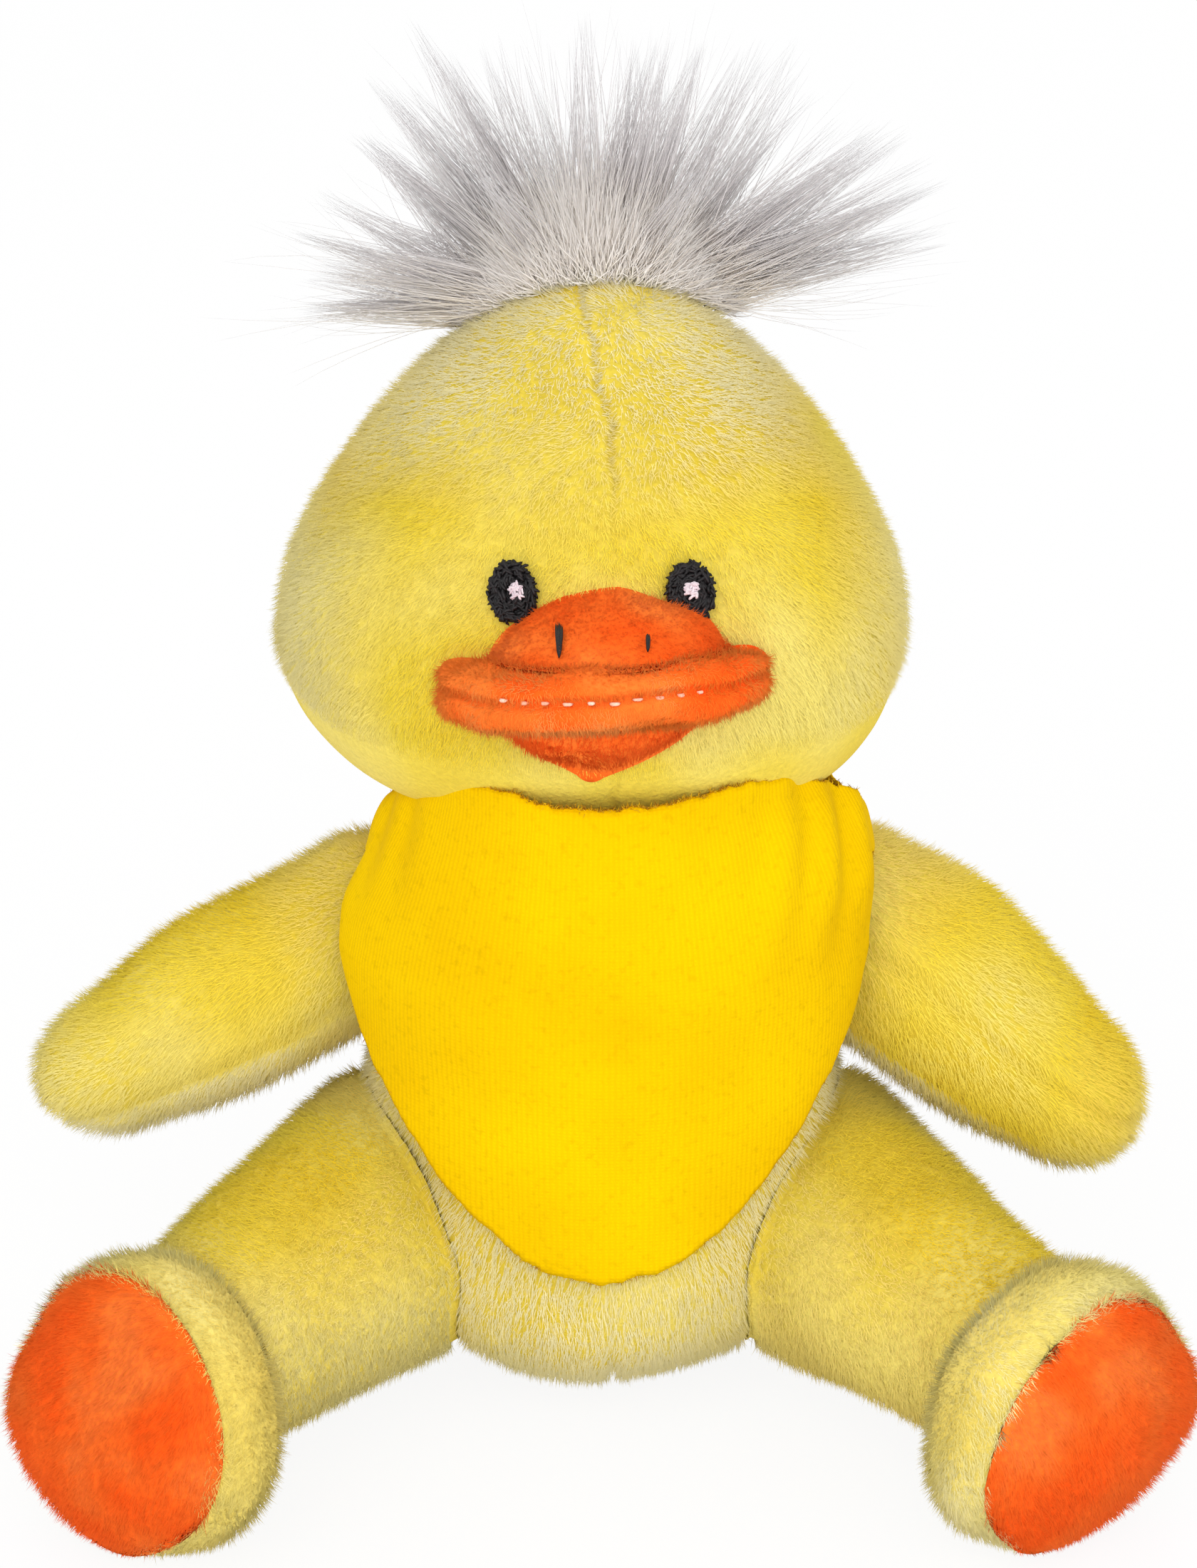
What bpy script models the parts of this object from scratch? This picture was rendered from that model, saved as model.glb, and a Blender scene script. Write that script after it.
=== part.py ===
"""Seated plush duck: stuffed torso, head, arms and legs in sewn panels, with a bill, a tuft and a bandana.

Metres, +Z up. The duck faces -Y, so its own left side is +X. The origin is the middle of the flat seat.
"""
import math

import bmesh
import bpy
from mathutils import Matrix, Vector

# Cloth and clearances
FABRIC = 0.0016
CLEARANCE = 0.0003
SEAM_GAP = 0.0004
SEAT_CUT = 0.0005
OVERRUN = 0.2

# Torso, a pear turned about the neck's axis
TORSO_HEIGHT = 0.0875
TORSO_RADIUS = 0.0325
TORSO_GIRTH_SHARES = ((0.04, 0.46), (0.14, 0.85), (0.33, 1.0), (0.52, 0.955), (0.69, 0.83), (0.83, 0.68),
                      (0.92, 0.49))
SIDE_SEAM_Y = -0.006
SIDE_SEAM_LEAN = math.radians(8)
PELLET_TOP = 0.016

# Head, an egg with its wide end down, leaning back
HEAD_WIDTH = 0.0808
HEAD_DEPTH = 0.0765
HEAD_HEIGHT = 0.0735
HEAD_Y = 0.002
NECK_Z = 0.07795
HEAD_LEAN = math.radians(8)
HEAD_GIRTH_SHARES = ((0.06, 0.56), (0.13, 0.79), (0.2, 0.91), (0.29, 0.985), (0.38, 1.0), (0.48, 0.97),
                     (0.62, 0.85), (0.78, 0.64), (0.9, 0.42))
HEAD_BACK_SEAM_Y = 0.004

# Bill, in the head's frame
BILL_SINK = 0.004
BILL_Z = -0.0058
LIP_WIDTH = 0.0415
LIP_DEPTH = 0.0405
LIP_HEIGHT = 0.0090
LIP_BLUNT_SHARES = ((0.06, 0.8), (0.25, 0.97), (0.5, 1.0), (0.75, 0.97), (0.94, 0.8))
DOME_WIDTH = 0.0305
DOME_DEPTH = 0.033
DOME_HEIGHT = 0.0198
DOME_GIRTH_SHARES = ((0.5, 1.0), (0.7, 0.81), (0.9, 0.46))
JAW_WIDTH = 0.028
JAW_DEPTH = 0.027
JAW_HEIGHT = 0.0295
JAW_SINK = 0.005
BILL_FABRIC = 0.0014

# Threads on the face
EYE_WIDTH = 0.0060
EYE_HEIGHT = 0.0072
EYE_X = 0.0109
EYE_Z = 0.0041
EYE_THREAD = 0.0008
HIGHLIGHT_WIDTH = 0.0020
HIGHLIGHT_HEIGHT = 0.0021
HIGHLIGHT_INSET = 0.0003
NOSTRIL_X = 0.0053
NOSTRIL_LENGTH = 0.0044
NOSTRIL_WIDTH = 0.0012
NOSTRIL_LEVEL_SHARE = 0.81
STITCH_ARC = math.radians(70)
STITCH_LIFT = 0.0013
STITCH_REACH_SHARE = 0.985
STITCH_STEPS = 14
STITCH_WIDTH = 0.0007

# Tuft of long pile on a sewn patch
PATCH_WIDTH = 0.030
PATCH_DEPTH = 0.020
PATCH_HEIGHT = 0.012
PATCH_SINK = 0.006
PILE_LENGTH = 0.029
PILE_FAN = math.radians(80)
PILE_LEAN = math.radians(38)
LOCKS_ACROSS = 9
LOCKS_DEEP = 3
SHORT_LOCK_SHARE = 0.82
LOCK_TAPER_SHARES = ((0.4, 0.6), (0.97, 0.15))

# Limbs: how far behind its pivot a limb's skin is left open
ROOT_OPEN_SHARE = 0.8

# Arms, from the shoulder pivot to the tip
SHOULDER_X = 0.030
SHOULDER_Y = 0.002
SHOULDER_Z = 0.061
ARM_LENGTH = 0.050
ARM_RADIUS = 0.0126
ARM_TAPER_SHARES = ((0.15, 1.0), (0.35, 0.97), (0.55, 0.91), (0.75, 0.8))
ARM_FORWARD = math.radians(11)
ARM_DROOP_LEFT = math.radians(33)
ARM_DROOP_RIGHT = math.radians(23)
ARM_SEAM_LEFT = -0.0015
ARM_SEAM_RIGHT = -0.0035
ARM_RAISE = math.radians(35)
ARM_LOWER = math.radians(3)

# Legs, from the hip pivot to the ankle
HIP_X = 0.025
HIP_Y = -0.004
HIP_Z = 0.0240
LEG_RADIUS = 0.0190
LEG_LENGTH = 0.0530
LEG_TAPER_SHARES = ((0.15, 0.97), (0.4, 0.87), (0.65, 0.76), (0.85, 0.71))
LEG_SPLAY = math.radians(36)
LEG_DROOP = math.radians(3)
LEG_OPEN = math.radians(15)
LEG_CLOSE = math.radians(5)

# Feet
FOOT_RADIUS = 0.0197
FOOT_DEPTH = 0.0250
FOOT_SET = 0.0020
FOOT_TURN = math.radians(7.5)
FOOT_TILT_LEFT = math.radians(-9)
FOOT_TILT_RIGHT = math.radians(9)
FOOT_GIRTH_SHARES = ((0.07, 0.62), (0.2, 0.88), (0.4, 1.0), (0.6, 1.0), (0.75, 0.945), (0.88, 0.74),
                     (0.95, 0.5))
SOLE_SEAM = 0.0050

# Bandana, round the neck with its point down the front
BANDANA_CLOTH = 0.0010
BANDANA_TOP_FRONT = 0.0930
BANDANA_TOP_BACK = 0.0800
BANDANA_TIP = 0.0285
BANDANA_BAND = 0.0060
BANDANA_FRONT_ARC = math.radians(70)
BANDANA_FRONT_Y = 0.0352
BANDANA_SIDE_TOP = 0.0318
BANDANA_SIDE_LOW = 0.0385
BANDANA_BACK_R = 0.0270
BANDANA_LAP = math.radians(10)
BANDANA_FALL_SHARES = ((0.0, 0.0), (0.1, 0.08), (0.2, 0.3), (0.33, 0.62), (0.5, 0.9), (1.0, 1.0))
BANDANA_TUCK_SHARES = ((0.0, 0.0), (0.28, 0.15), (0.5, 0.75), (1.0, 1.0))
BANDANA_FLARE_SHARE = 0.4
BANDANA_DROP_SHARES = ((0.0, 1.0), (0.15, 0.974), (0.36, 0.865), (0.49, 0.765), (0.7, 0.56), (0.83, 0.41),
                       (0.94, 0.24), (1.0, 0.1))
FOLD_DEPTH = 0.0009
FOLD_COUNT = 9
TACK_LENGTH = 0.0030
TACK_WIDTH = 0.0008

# Mesh counts
HEAD_SIDES = 24
HEAD_RINGS = 12
LIMB_SIDES = 16
BALL_RINGS = 4
TIP_RINGS = 3
FILL_LIMB_SIDES = 12
FILL_SIDES = 16
FILL_RINGS = 8
TRIM_SIDES = 16
TRIM_RINGS = 6
THREAD_SIDES = 8
THREAD_RINGS = 4
BANDANA_COLUMNS = 48
BANDANA_ROWS = 5
MIDDLE_SHARE = 0.5
PROBE_SHARE = 0.02

COLOURS = {
    "yellow_plush": ((0.86, 0.66, 0.06), 0.95),
    "pale_plush": ((0.80, 0.62, 0.16), 0.95),
    "orange_plush": ((1.0, 0.14, 0.01), 0.95),
    "bandana_knit": ((1.0, 0.62, 0.0), 0.85),
    "grey_pile": ((0.48, 0.44, 0.45), 0.6),
    "black_thread": ((0.012, 0.01, 0.01), 0.55),
    "white_thread": ((0.75, 0.66, 0.69), 0.6),
    "pale_thread": ((1.0, 0.5, 0.28), 0.6),
    "fibre": ((0.85, 0.85, 0.83), 1.0),
    "pellet_bag": ((0.7, 0.68, 0.62), 0.9),
}


def clear_scene():
    for item in list(bpy.data.objects):
        bpy.data.objects.remove(item, do_unlink=True)


def material_for(name, finish):
    material = bpy.data.materials.new(name + "_" + finish)
    material.use_nodes = True
    colour, roughness = COLOURS[finish]
    shader = material.node_tree.nodes["Principled BSDF"]
    shader.inputs["Base Color"].default_value = (*colour, 1)
    shader.inputs["Roughness"].default_value = roughness
    shader.inputs["Metallic"].default_value = 0
    return material


def add_object(name, mesh, parent, place=None):
    item = bpy.data.objects.new(name, mesh)
    bpy.context.collection.objects.link(item)
    item.parent = parent
    item.matrix_basis = place if place else Matrix.Identity(4)
    return item


def piece(name, mesh, parent, finish, place=None):
    """A real sub-part: a named object with its own mesh and material."""
    item = add_object(name, mesh.copy(), parent, place)
    item.data.name = name
    item.data.materials.clear()
    item.data.materials.append(material_for(name, finish))
    return item


def cutter(name, mesh, parent, place=None):
    """A guide that only shapes its neighbours."""
    item = add_object(name, mesh, parent, place)
    item.hide_render = True
    item.display_type = "WIRE"
    return item


def frame_empty(name, matrix, parent=None):
    item = bpy.data.objects.new(name, None)
    bpy.context.collection.objects.link(item)
    item.parent = parent
    item.matrix_basis = matrix
    return item


def boolean(item, tool, operation):
    modifier = item.modifiers.new(operation.lower() + "_" + tool.name, "BOOLEAN")
    modifier.operation = operation
    modifier.solver = "EXACT"
    modifier.object = tool


def cut(item, *tools):
    for tool in tools:
        boolean(item, tool, "DIFFERENCE")


def mesh_from(name, bm):
    bmesh.ops.recalc_face_normals(bm, faces=bm.faces)
    mesh = bpy.data.meshes.new(name)
    bm.to_mesh(mesh)
    bm.free()
    mesh.shade_smooth()
    mesh.set_sharp_from_angle(angle=math.radians(50))
    return mesh


def closed_form(name, ends, rings, sides):
    """A closed skin from pole to pole through rings of (height, half width, half depth, stretch)."""
    bm = bmesh.new()
    bottom = bm.verts.new((0, 0, ends[0]))
    top = bm.verts.new((0, 0, ends[1]))
    loops = []
    for height, half_width, half_depth, stretch in rings:
        loop = []
        for side in range(sides):
            turn = math.tau * (side + MIDDLE_SHARE) / sides
            across = half_width * math.cos(turn) + math.copysign(stretch, math.cos(turn))
            loop.append(bm.verts.new((across, half_depth * math.sin(turn), height)))
        loops.append(loop)
    for side in range(sides):
        after = (side + 1) % sides
        for lower, upper in zip(loops, loops[1:]):
            bm.faces.new((lower[side], lower[after], upper[after], upper[side]))
        bm.faces.new((bottom, loops[0][after], loops[0][side]))
        bm.faces.new((top, loops[-1][side], loops[-1][after]))
    return mesh_from(name, bm)


def table_value(share, table):
    """Value at a share, read smoothly between the rows of a table and held past its ends."""
    if share <= table[0][0]:
        return table[0][1]
    for (start, first), (end, second) in zip(table, table[1:]):
        if share <= end:
            blend = (share - start) / (end - start)
            return first + (second - first) * blend
    return table[-1][1]


def round_girth(share):
    """Girth of a plain ball at a share of its height."""
    return 2 * math.sqrt(max(share * (1 - share), 0))


def girth_at(share, girth_shares):
    """Girth of a stuffed form: its table over a ball's girth, so both ends close round."""
    swell_shares = [(row, girth / round_girth(row)) for row, girth in girth_shares]
    return table_value(share, swell_shares) * round_girth(share)


def stuffed_form(name, width, depth, height, girth_shares, grow, sides, rings):
    """A stuffed form about its centre, with its skin moved out by grow."""
    half_height = height / 2 + grow
    stations = []
    for ring in range(1, rings):
        share = (1 - math.cos(math.pi * ring / rings)) / 2
        girth = girth_at(share, girth_shares)
        level = half_height * (2 * share - 1)
        stations.append((level, (width / 2 + grow) * girth, (depth / 2 + grow) * girth, 0))
    return closed_form(name, (-half_height, half_height), stations, sides)


def ball_form(name, width, depth, height, sides, rings):
    return stuffed_form(name, width, depth, height, ((MIDDLE_SHARE, 1.0),), 0, sides, rings)


def limb_form(name, radius, length, taper_shares, grow, spread=0, sides=LIMB_SIDES):
    """A limb along +Z from a ball about its pivot; spread opens it into the space that its swing sweeps."""
    ball = radius + grow
    stations = []
    for ring in range(1, BALL_RINGS + 1):
        turn = math.pi / 2 * ring / BALL_RINGS
        level = -ball * math.cos(turn)
        reach = max(level * math.tan(spread) + ball / math.cos(spread), ball * math.sin(turn))
        stations.append((level, ball * math.sin(turn), reach if spread else ball * math.sin(turn)))
    for share, girth in taper_shares:
        level = length * share
        girth_here = radius * girth + grow
        stations.append((level, girth_here, girth_here / math.cos(spread) + level * math.tan(spread)))
    last_share, last_girth = taper_shares[-1]
    for ring in range(1, TIP_RINGS + 1):
        turn = math.pi / 2 * ring / (TIP_RINGS + 1)
        level = length * last_share + (length * (1 - last_share) + grow) * math.sin(turn)
        girth_here = (radius * last_girth + grow) * math.cos(turn)
        stations.append((level, girth_here, girth_here / math.cos(spread) + level * math.tan(spread)))
    rings = [(level, girth, girth, reach - girth) for level, girth, reach in stations]
    return closed_form(name, (-ball, length + grow), rings, sides)


def half_space(name, parent, point, normal):
    """A large block that starts at a point and fills the side that the normal points to."""
    bm = bmesh.new()
    bmesh.ops.create_cube(bm, size=2 * OVERRUN)
    bmesh.ops.translate(bm, verts=bm.verts, vec=(0, 0, OVERRUN))
    turn = Vector(normal).to_track_quat("Z", "Y").to_matrix().to_4x4()
    return cutter(name, mesh_from(name, bm), parent, Matrix.Translation(point) @ turn)


def side_sign(side):
    return 1 if side == "left" else -1


def torso_form(name, grow, sides=HEAD_SIDES, rings=HEAD_RINGS):
    width = 2 * TORSO_RADIUS
    return stuffed_form(name, width, width, TORSO_HEIGHT, TORSO_GIRTH_SHARES, grow, sides, rings)


def torso_place():
    return Matrix.Translation((0, 0, TORSO_HEIGHT / 2 - SEAT_CUT))


def head_form(name, grow, sides=HEAD_SIDES, rings=HEAD_RINGS):
    return stuffed_form(name, HEAD_WIDTH, HEAD_DEPTH, HEAD_HEIGHT, HEAD_GIRTH_SHARES, grow, sides, rings)


def running_gap(radius, sides):
    """How far a faceted socket stands off a faceted form so that the form turns in it."""
    return (radius + CLEARANCE) / math.cos(math.pi / sides) - radius


def limb_frames(ground):
    """The pivot frames: Z along the limb, Y the hinge."""
    frames = {}
    shoulder = Vector((SHOULDER_X, SHOULDER_Y, SHOULDER_Z))
    hip = Vector((HIP_X, HIP_Y, HIP_Z))
    for side, droop in (("left", ARM_DROOP_LEFT), ("right", ARM_DROOP_RIGHT)):
        sign = side_sign(side)
        forward = Vector((sign * math.cos(ARM_FORWARD), -math.sin(ARM_FORWARD), 0))
        along = forward * math.cos(droop) + Vector((0, 0, -math.sin(droop)))
        hinge = Vector((0, 0, -1)).cross(forward)
        frames["arm_" + side] = limb_matrix(shoulder, sign, along, hinge)
        outward = Vector((sign * math.sin(LEG_SPLAY), -math.cos(LEG_SPLAY), 0))
        along = outward * math.cos(LEG_DROOP) + Vector((0, 0, -math.sin(LEG_DROOP)))
        hinge = outward.cross(Vector((0, 0, sign))).cross(along).normalized()
        frames["leg_" + side] = limb_matrix(hip, sign, along, hinge)
    return {name: frame_empty(name + "_pivot", matrix, ground) for name, matrix in frames.items()}


def limb_matrix(pivot, sign, along, hinge):
    across = hinge.cross(along)
    place = Matrix((across, hinge, along)).transposed().to_4x4()
    return Matrix.Translation((sign * pivot.x, pivot.y, pivot.z)) @ place


def swing_cutter(name, pivot, radius, length, taper_shares, first, last):
    """The space that a limb sweeps between the ends of its swing about its hinge, +Y."""
    spread = (last - first) / 2
    middle = (last + first) / 2
    mesh = limb_form(name, radius, length, taper_shares, running_gap(radius, LIMB_SIDES), spread)
    return cutter(name, mesh, pivot, Matrix.Rotation(middle, 4, "Y"))


def build_torso(ground, sweeps, floor):
    outer = torso_form("torso_outer", 0)
    lining = torso_form("torso_lining", -FABRIC, FILL_SIDES, FILL_RINGS)
    inner = cutter("torso_lining", lining, ground, torso_place())
    lean = Vector((0, math.cos(SIDE_SEAM_LEAN), -math.sin(SIDE_SEAM_LEAN)))
    seam = Vector((0, SIDE_SEAM_Y, 0))
    behind = half_space("torso_behind", ground, seam - lean * SEAM_GAP / 2, lean)
    ahead = half_space("torso_ahead", ground, seam + lean * SEAM_GAP / 2, -lean)
    for side in ("left", "right"):
        sign = side_sign(side)
        other = half_space("torso_beyond_" + side, ground, (sign * SEAM_GAP / 2, 0, 0), (-sign, 0, 0))
        panel = piece("torso_front_" + side, outer, ground, "yellow_plush", torso_place())
        cut(panel, inner, behind, other, floor, *sweeps)
    panel = piece("torso_back", outer, ground, "yellow_plush", torso_place())
    cut(panel, inner, ahead, floor, *sweeps)

    fill = torso_form("torso_fill", -FABRIC - CLEARANCE, FILL_SIDES, FILL_RINGS)
    above = half_space("pellets_above", ground, (0, 0, PELLET_TOP), (0, 0, 1))
    below = half_space("pellets_below", ground, (0, 0, PELLET_TOP + CLEARANCE), (0, 0, -1))
    cut(piece("torso_stuffing", fill, ground, "fibre", torso_place()), below, *sweeps)
    cut(piece("pellet_pouch", fill, ground, "pellet_bag", torso_place()), above, *sweeps)


def build_head(head, neck_socket):
    outer = head_form("head_outer", 0)
    inner = cutter("head_lining", head_form("head_lining", -FABRIC, FILL_SIDES, FILL_RINGS), head)
    behind = half_space("head_behind", head, (0, HEAD_BACK_SEAM_Y - SEAM_GAP / 2, 0), (0, 1, 0))
    ahead = half_space("head_ahead", head, (0, HEAD_BACK_SEAM_Y + SEAM_GAP / 2, 0), (0, -1, 0))
    for side in ("left", "right"):
        sign = side_sign(side)
        other = half_space("head_beyond_" + side, head, (sign * SEAM_GAP / 2, 0, 0), (-sign, 0, 0))
        cut(piece("head_front_" + side, outer, head, "yellow_plush"), inner, behind, other, neck_socket)
    cut(piece("head_back", outer, head, "yellow_plush"), inner, ahead, neck_socket)
    fill = head_form("head_fill", -FABRIC - CLEARANCE, FILL_SIDES, FILL_RINGS)
    cut(piece("head_stuffing", fill, head, "fibre"), neck_socket)


def lip_mesh(name, grow):
    size = (LIP_WIDTH, LIP_DEPTH, LIP_HEIGHT)
    return stuffed_form(name, *size, LIP_BLUNT_SHARES, grow, HEAD_SIDES, TRIM_RINGS)


def dome_mesh(name, grow):
    size = (DOME_WIDTH, DOME_DEPTH, DOME_HEIGHT)
    return stuffed_form(name, *size, DOME_GIRTH_SHARES, grow, TRIM_SIDES, FILL_RINGS)


def bill_middle(sink):
    """Middle of a part of the bill: how far its middle lies behind the face's front."""
    return Vector((0, sink - HEAD_DEPTH / 2, BILL_Z))


def build_bill(head, face):
    middle = bill_middle(BILL_SINK)
    at_bill = Matrix.Translation(middle)
    lip_room = cutter("lip_room", lip_mesh("lip_room", CLEARANCE), head, at_bill)
    cut(piece("bill_lip", lip_mesh("bill_lip", 0), head, "orange_plush", at_bill), face)

    under = half_space("under_lip", head, middle, (0, 0, -1))
    dome_lining = cutter("dome_lining", dome_mesh("dome_lining", -BILL_FABRIC), head, at_bill)
    upper = piece("bill_upper", dome_mesh("bill_upper", 0), head, "orange_plush", at_bill)
    cut(upper, dome_lining, under, lip_room, face)
    filling = piece("bill_stuffing", dome_mesh("bill_fill", -BILL_FABRIC - CLEARANCE), head, "fibre", at_bill)
    cut(filling, under, lip_room, face)

    over = half_space("over_lip", head, middle, (0, 0, 1))
    jaw = ball_form("bill_lower", JAW_WIDTH, JAW_DEPTH, JAW_HEIGHT, TRIM_SIDES, FILL_RINGS)
    at_jaw = Matrix.Translation(bill_middle(JAW_SINK))
    cut(piece("bill_lower", jaw, head, "orange_plush", at_jaw), over, lip_room, face)


def build_topstitch(head):
    """One sewn thread round the front of the lip, just off the plush."""
    curve = bpy.data.curves.new("bill_topstitch", "CURVE")
    curve.dimensions = "3D"
    curve.bevel_depth = STITCH_WIDTH / 2
    curve.bevel_resolution = 1
    curve.use_fill_caps = True
    stand_off = CLEARANCE + STITCH_WIDTH / 2
    spline = curve.splines.new("POLY")
    spline.points.add(STITCH_STEPS)
    for index, point in enumerate(spline.points):
        turn = STITCH_ARC * (index / STITCH_STEPS - MIDDLE_SHARE)
        across = (LIP_WIDTH / 2 * STITCH_REACH_SHARE + stand_off) * math.sin(turn)
        ahead = (LIP_DEPTH / 2 * STITCH_REACH_SHARE + stand_off) * math.cos(turn)
        point.co = (across, -ahead, STITCH_LIFT, 1)
    thread = add_object("bill_topstitch", curve, head, Matrix.Translation(bill_middle(BILL_SINK)))
    curve.materials.append(material_for("bill_topstitch", "pale_thread"))
    return thread


def dome_front(across, level_share):
    """A point of the dome's front, across from its middle and at a share of its height."""
    girth = girth_at(level_share, DOME_GIRTH_SHARES)
    reach_share = math.sqrt(girth ** 2 - (2 * across / DOME_WIDTH) ** 2)
    return Vector((across, -DOME_DEPTH / 2 * reach_share, DOME_HEIGHT * (level_share - MIDDLE_SHARE)))


def build_nostril(head, side):
    """A slit of black thread that lies on the dome's front slope."""
    across = side_sign(side) * NOSTRIL_X
    stand_off = CLEARANCE + NOSTRIL_WIDTH / 2
    spot = dome_front(across, NOSTRIL_LEVEL_SHARE)
    rise = dome_front(across, NOSTRIL_LEVEL_SHARE + PROBE_SHARE) - spot
    normal = Vector((0, -rise.z, rise.y)).normalized()
    place = Matrix.Translation(bill_middle(BILL_SINK) + spot + normal * stand_off)
    turn = normal.to_track_quat("Z", "Y").to_matrix().to_4x4()
    slit = ball_form("nostril", NOSTRIL_WIDTH, NOSTRIL_LENGTH, NOSTRIL_WIDTH, THREAD_SIDES, TRIM_RINGS)
    piece("nostril_" + side, slit, head, "black_thread", place @ turn)


def face_patch(name, head, finish, spot, size, first, last):
    """A thin patch of thread that follows the face between two heights above it."""
    bm = bmesh.new()
    bmesh.ops.create_cone(bm, cap_ends=True, segments=TRIM_SIDES, radius1=MIDDLE_SHARE, radius2=MIDDLE_SHARE,
                          depth=HEAD_DEPTH, matrix=Matrix.Rotation(math.pi / 2, 4, "X"))
    bmesh.ops.scale(bm, verts=bm.verts, vec=(size[0], 1, size[1]))
    column = mesh_from(name + "_column", bm)
    place = Matrix.Translation((spot[0], -HEAD_DEPTH / 2, spot[1]))
    patch = piece(name, column, head, finish, place)
    boolean(patch, cutter(name + "_top", head_form(name + "_top", last), head), "INTERSECT")
    cut(patch, cutter(name + "_base", head_form(name + "_base", first), head))


def build_eyes(head):
    for side in ("left", "right"):
        spot = (side_sign(side) * EYE_X, EYE_Z)
        top = CLEARANCE + EYE_THREAD
        face_patch("eye_" + side, head, "black_thread", spot, (EYE_WIDTH, EYE_HEIGHT), CLEARANCE, top)
        shine = (HIGHLIGHT_WIDTH, HIGHLIGHT_HEIGHT)
        spot = (spot[0] - side_sign(side) * HIGHLIGHT_INSET, EYE_Z)
        face_patch("eye_highlight_" + side, head, "white_thread", spot, shine, top + CLEARANCE,
                   top + CLEARANCE + EYE_THREAD)


def build_tuft(head, face):
    """A domed patch whose top faces are drawn out into a fan of tapered locks."""
    bm = bmesh.new()
    columns = LOCKS_ACROSS
    rows = LOCKS_DEEP
    across = PATCH_WIDTH / columns
    deep = PATCH_DEPTH / rows
    top = {}
    base = {}
    for column in range(columns + 1):
        for row in range(rows + 1):
            x = column * across - PATCH_WIDTH / 2
            y = row * deep - PATCH_DEPTH / 2
            fall = (2 * x / PATCH_WIDTH) ** 2 * MIDDLE_SHARE + (2 * y / PATCH_DEPTH) ** 2 * MIDDLE_SHARE ** 2
            top[column, row] = bm.verts.new((x, y, PATCH_HEIGHT * (1 - fall)))
            base[column, row] = bm.verts.new((x, y, -PATCH_HEIGHT))
    locks = []
    for column in range(columns):
        for row in range(rows):
            corners = ((column, row), (column + 1, row), (column + 1, row + 1), (column, row + 1))
            locks.append((column, row, bm.faces.new([top[key] for key in corners])))
            bm.faces.new([base[key] for key in reversed(corners)])
    rim = [(column, 0) for column in range(columns)] + [(columns, row) for row in range(rows)]
    rim += [(columns - column, rows) for column in range(columns)] + [(0, rows - row) for row in range(rows)]
    for first, second in zip(rim, rim[1:] + rim[:1]):
        bm.faces.new((base[first], base[second], top[second], top[first]))
    for column, row, patch in locks:
        draw_out_lock(bm, patch, (2 * column + 1) / columns - 1, (2 * row + 1) / rows - 1, (column + row) % 2)
    place = Matrix.Translation((0, 0, HEAD_HEIGHT / 2 - PATCH_SINK))
    cut(piece("tuft", mesh_from("tuft", bm), head, "grey_pile", place), face)


def draw_out_lock(bm, patch, across_share, deep_share, short):
    """Draws one face of the patch out into a lock that leans away from the middle of the fan."""
    fan = PILE_FAN * across_share
    lean = PILE_LEAN * deep_share
    heading = Vector((math.sin(fan), math.sin(lean) * math.cos(fan), math.cos(lean) * math.cos(fan)))
    reach = PILE_LENGTH * SHORT_LOCK_SHARE if short else PILE_LENGTH
    middle = patch.calc_center_median()
    for rise_share, girth_share in LOCK_TAPER_SHARES:
        patch = bmesh.ops.extrude_discrete_faces(bm, faces=[patch])["faces"][0]
        goal = middle + heading * reach * rise_share
        here = patch.calc_center_median()
        for vert in patch.verts:
            vert.co = goal + (vert.co - here) * girth_share


def limb_linings(name, radius, length, taper_shares):
    """The inner face of a limb's skin, and the stuffing that fills it."""
    lining = limb_form(name + "_lining", radius, length, taper_shares, -FABRIC, sides=FILL_LIMB_SIDES)
    fill = limb_form(name + "_fill", radius, length, taper_shares, -FABRIC - CLEARANCE, sides=FILL_LIMB_SIDES)
    return lining, fill


def build_arm(pivot, side):
    outer = limb_form("arm_outer", ARM_RADIUS, ARM_LENGTH, ARM_TAPER_SHARES, 0)
    lining, fill = limb_linings("arm", ARM_RADIUS, ARM_LENGTH, ARM_TAPER_SHARES)
    inner = cutter("arm_lining_" + side, lining, pivot)
    root = half_space("arm_root_" + side, pivot, (0, 0, -ARM_RADIUS * ROOT_OPEN_SHARE), (0, 0, -1))
    seam = ARM_SEAM_LEFT if side == "left" else ARM_SEAM_RIGHT
    for name, sign in (("upper", 1), ("lower", -1)):
        spot = (seam + sign * SEAM_GAP / 2, 0, 0)
        wall = half_space("arm_%s_beyond_%s" % (side, name), pivot, spot, (-sign, 0, 0))
        finish = "yellow_plush" if name == "upper" else "pale_plush"
        cut(piece("arm_%s_%s" % (side, name), outer, pivot, finish), inner, root, wall)
    piece("arm_%s_stuffing" % side, fill, pivot, "fibre")


def foot_form(name, grow, sides, rings):
    width = 2 * FOOT_RADIUS
    return stuffed_form(name, width, width, FOOT_DEPTH, FOOT_GIRTH_SHARES, grow, sides, rings)


def foot_place(pivot, side):
    """The foot's centre: out along the leg, at the height where its rim is cut flat on the ground."""
    world = pivot.matrix_basis
    up = Vector((0, 0, 1))
    level = Vector((world.col[2].x, world.col[2].y, 0)).normalized()
    centre = Vector((pivot.location.x, pivot.location.y, FOOT_RADIUS - SEAT_CUT))
    centre += level * (LEG_LENGTH + FOOT_SET)
    facing = Matrix.Rotation(side_sign(side) * FOOT_TURN, 3, "Z") @ level
    tilt = FOOT_TILT_LEFT if side == "left" else FOOT_TILT_RIGHT
    along = facing * math.cos(tilt) + up * math.sin(tilt)
    across = up.cross(facing)
    turned = Matrix((across, along.cross(across), along)).transposed().to_4x4()
    return world.inverted() @ Matrix.Translation(centre) @ turned


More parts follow.
